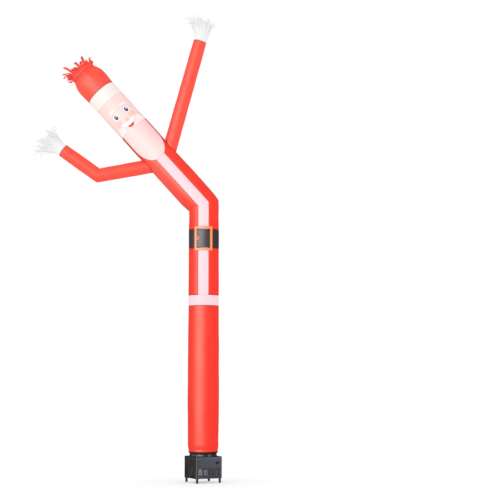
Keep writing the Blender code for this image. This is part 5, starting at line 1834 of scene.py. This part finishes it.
# Each lamp's place, the point it looks at, its size, its power's setting and its tint, and
# whether it only shows in reflections
Lamp = namedtuple("Lamp", "place target size power tint glossy_only", defaults=((1.0,) * 3, False))
LAMPS = {
    "key_softbox": Lamp((-3.0, -5.8, 2.6), (-0.1, 0.0, 2.1), (6.6, 6.2), "key", glossy_only=True),
    "side_softbox": Lamp((-3.2, -5.7, 2.6), (-0.1, 0.0, 2.1), (6.2, 6.2), "side", glossy_only=True),
    "fill_softbox": Lamp((-4.4, -4.2, 3.6), (-0.2, 0.0, 1.6), (2.0, 2.0), "fill"),
    "warm_softbox": Lamp((5.2, -3.4, 2.4), (-0.1, 0.0, 1.6), (2.0, 2.0), "warm", (1.0, 0.30, 0.28)),
    "blower_card": Lamp((1.9, -1.3, 0.35), (0.0, 0.0, 0.08), (0.9, 0.9), "card", (0.68, 0.79, 1.0)),
    "left_card": Lamp((-2.5, -0.2, 0.5), (0.0, 0.0, 0.08), (0.9, 0.9), "left_card", (1.0, 0.94, 0.88)),
}
BLACK_PIECES = ("housing_half_front", "housing_half_back", "duct_collar")


def area_lamp(name, lamp, power):
    data = bpy.data.lights.new(name, "AREA")
    data.shape = "RECTANGLE"
    data.size, data.size_y = lamp.size
    data.energy = power
    data.color = lamp.tint
    made = bpy.data.objects.new(name, data)
    bpy.context.scene.collection.objects.link(made)
    made.location = lamp.place
    direction = Vector(lamp.target) - Vector(lamp.place)
    made.rotation_euler = direction.to_track_quat("-Z", "Y").to_euler()
    made.visible_diffuse = not lamp.glossy_only
    return made


def lit_only(lamp, names):
    """Lets a lamp light these pieces alone, as a flag beside it would."""
    chosen = bpy.data.collections.new(lamp.name + "_pieces")
    for name in names:
        chosen.objects.link(bpy.data.objects[name])
    lamp.light_linking.receiver_collection = chosen


def make_floor(stage):
    """A round floor. Near the part it is painted and takes its shadow; further out it glows as
    brightly as the room, by its own coordinates, so that no horizon shows."""
    rings = np.array((0.0, 0.15, 0.3, 0.6, 1.2, 2.5, 5.0, 12.0, 30.0, 60.0))[:, None]
    turn = TAU * np.arange(64)[None, :] / 64
    level = -FOOT_HEIGHT + 0 * rings * turn
    points = np.stack((rings * np.cos(turn), rings * np.sin(turn), level), -1)
    floor = new_object("floor", points.reshape(-1, 3), grid_faces(len(rings), 64, True)[:, ::-1])
    tree, shader = new_material("floor paint", 0.85, Specular_IOR_Level=0.1)
    place, tint = object_place(tree), tuple(stage.floor)
    tone = blend_colour(tree, noise(tree, place, 6.0, 3.0), scaled_colour(tint, 0.99), tint)
    tree.links.new(tone, shader.inputs["Base Color"])
    size = vector_maths(tree, "LENGTH", (place,)).outputs["Value"]
    away = maths(tree, "MULTIPLY_ADD", size, FLOOR_GLOW_GROWTH, FLOOR_GLOW, clamp=True)
    ray = tree.nodes.new("ShaderNodeLightPath")
    bright = maths(tree, "MULTIPLY_ADD", ray.outputs["Is Glossy Ray"], stage.mirror - 1.0, 1.0)
    glow = add_node(tree, "ShaderNodeEmission", {"Color": (1.0,) * 4, "Strength": bright})
    both = add_node(tree, "ShaderNodeMixShader", {0: away, 1: shader.outputs[0], 2: glow.outputs[0]})
    tree.links.new(both.outputs[0], tree.nodes["Material Output"].inputs["Surface"])
    set_finish(floor, "floor paint")


def make_room(stage):
    """An even white room, which is dimmer in reflections than in sight."""
    world = bpy.data.worlds.new("white room")
    bpy.context.scene.world = world
    world.use_nodes = True
    tree = world.node_tree
    background = tree.nodes["Background"]
    background.inputs["Color"].default_value = (1.0,) * 4
    ray = tree.nodes.new("ShaderNodeLightPath")
    lit = maths(tree, "MULTIPLY_ADD", ray.outputs["Is Glossy Ray"], stage.mirror - stage.sky, stage.sky)
    seen = maths(tree, "MAXIMUM", ray.outputs["Is Camera Ray"], lit)
    tree.links.new(seen, background.inputs["Strength"])


def make_lamps(stage):
    """The soft lamps. Some light only the pieces that they are meant for."""
    shapes = [piece.name for piece in bpy.context.scene.objects if piece.type == "MESH"]
    lit = {
        "key_softbox": [name for name in shapes if name != "bent_sleeve"],
        "side_softbox": ["bent_sleeve"],
        "warm_softbox": [name for name in shapes if "hand" not in name],
        "blower_card": BLACK_PIECES,
        "left_card": BLACK_PIECES,
    }
    for name, lamp in LAMPS.items():
        made = area_lamp(name, lamp, getattr(stage, lamp.power))
        if name in lit:
            lit_only(made, lit[name])


def make_camera(scene):
    data = bpy.data.cameras.new("main_camera")
    data.sensor_width = SENSOR_WIDTH
    data.lens = FOCAL_SHARE * SENSOR_WIDTH
    data.clip_end = 200.0
    camera = bpy.data.objects.new("main_camera", data)
    scene.collection.objects.link(camera)
    camera.location = CAMERA_PLACE
    camera.rotation_euler = (CAMERA_TILT, 0.0, 0.0)
    scene.camera = camera


class DANCER_OT_stage(bpy.types.Operator):
    """Sets up the pale floor, the soft lights and the camera"""

    bl_idname = "dancer.stage"
    bl_label = "Stage"

    def execute(self, context):
        stage = context.scene.dancer_stage
        make_floor(stage)
        make_room(stage)
        make_lamps(stage)
        make_camera(context.scene)
        context.scene.view_settings.view_transform = "Standard"
        return {"FINISHED"}


OPERATORS = (
    DANCER_OT_finishes,
    DANCER_OT_leg,
    DANCER_OT_coat,
    DANCER_OT_head,
    DANCER_OT_sleeves,
    DANCER_OT_buckle,
    DANCER_OT_fringes,
    DANCER_OT_duct,
    DANCER_OT_feet,
    DANCER_OT_housing,
    DANCER_OT_switch,
    DANCER_OT_gland,
    DANCER_OT_works,
    DANCER_OT_stage,
)


class DANCER_PT_panel(bpy.types.Panel):
    """Lists the settings and the steps that build the air dancer"""

    bl_idname = "DANCER_PT_panel"
    bl_label = "Air Dancer"
    bl_space_type = "VIEW_3D"
    bl_region_type = "UI"
    bl_category = "Air Dancer"

    def draw(self, context):
        for group in SETTINGS:
            box = self.layout.box()
            settings = getattr(context.scene, group)
            for name in settings.bl_rna.properties.keys():
                if name not in ("rna_type", "name"):
                    box.prop(settings, name)
        for operator in OPERATORS:
            self.layout.operator(operator.bl_idname)


CLASSES = (*SETTINGS.values(), *OPERATORS, DANCER_PT_panel)


def register():
    for cls in CLASSES:
        bpy.utils.register_class(cls)
    for group, settings in SETTINGS.items():
        setattr(bpy.types.Scene, group, PointerProperty(type=settings))


def unregister():
    for group in SETTINGS:
        delattr(bpy.types.Scene, group)
    for cls in reversed(CLASSES):
        bpy.utils.unregister_class(cls)


def main():
    register()
    for operator in OPERATORS:
        group, name = operator.bl_idname.split(".")
        getattr(getattr(bpy.ops, group), name)()


if __name__ == "__main__":
    main()
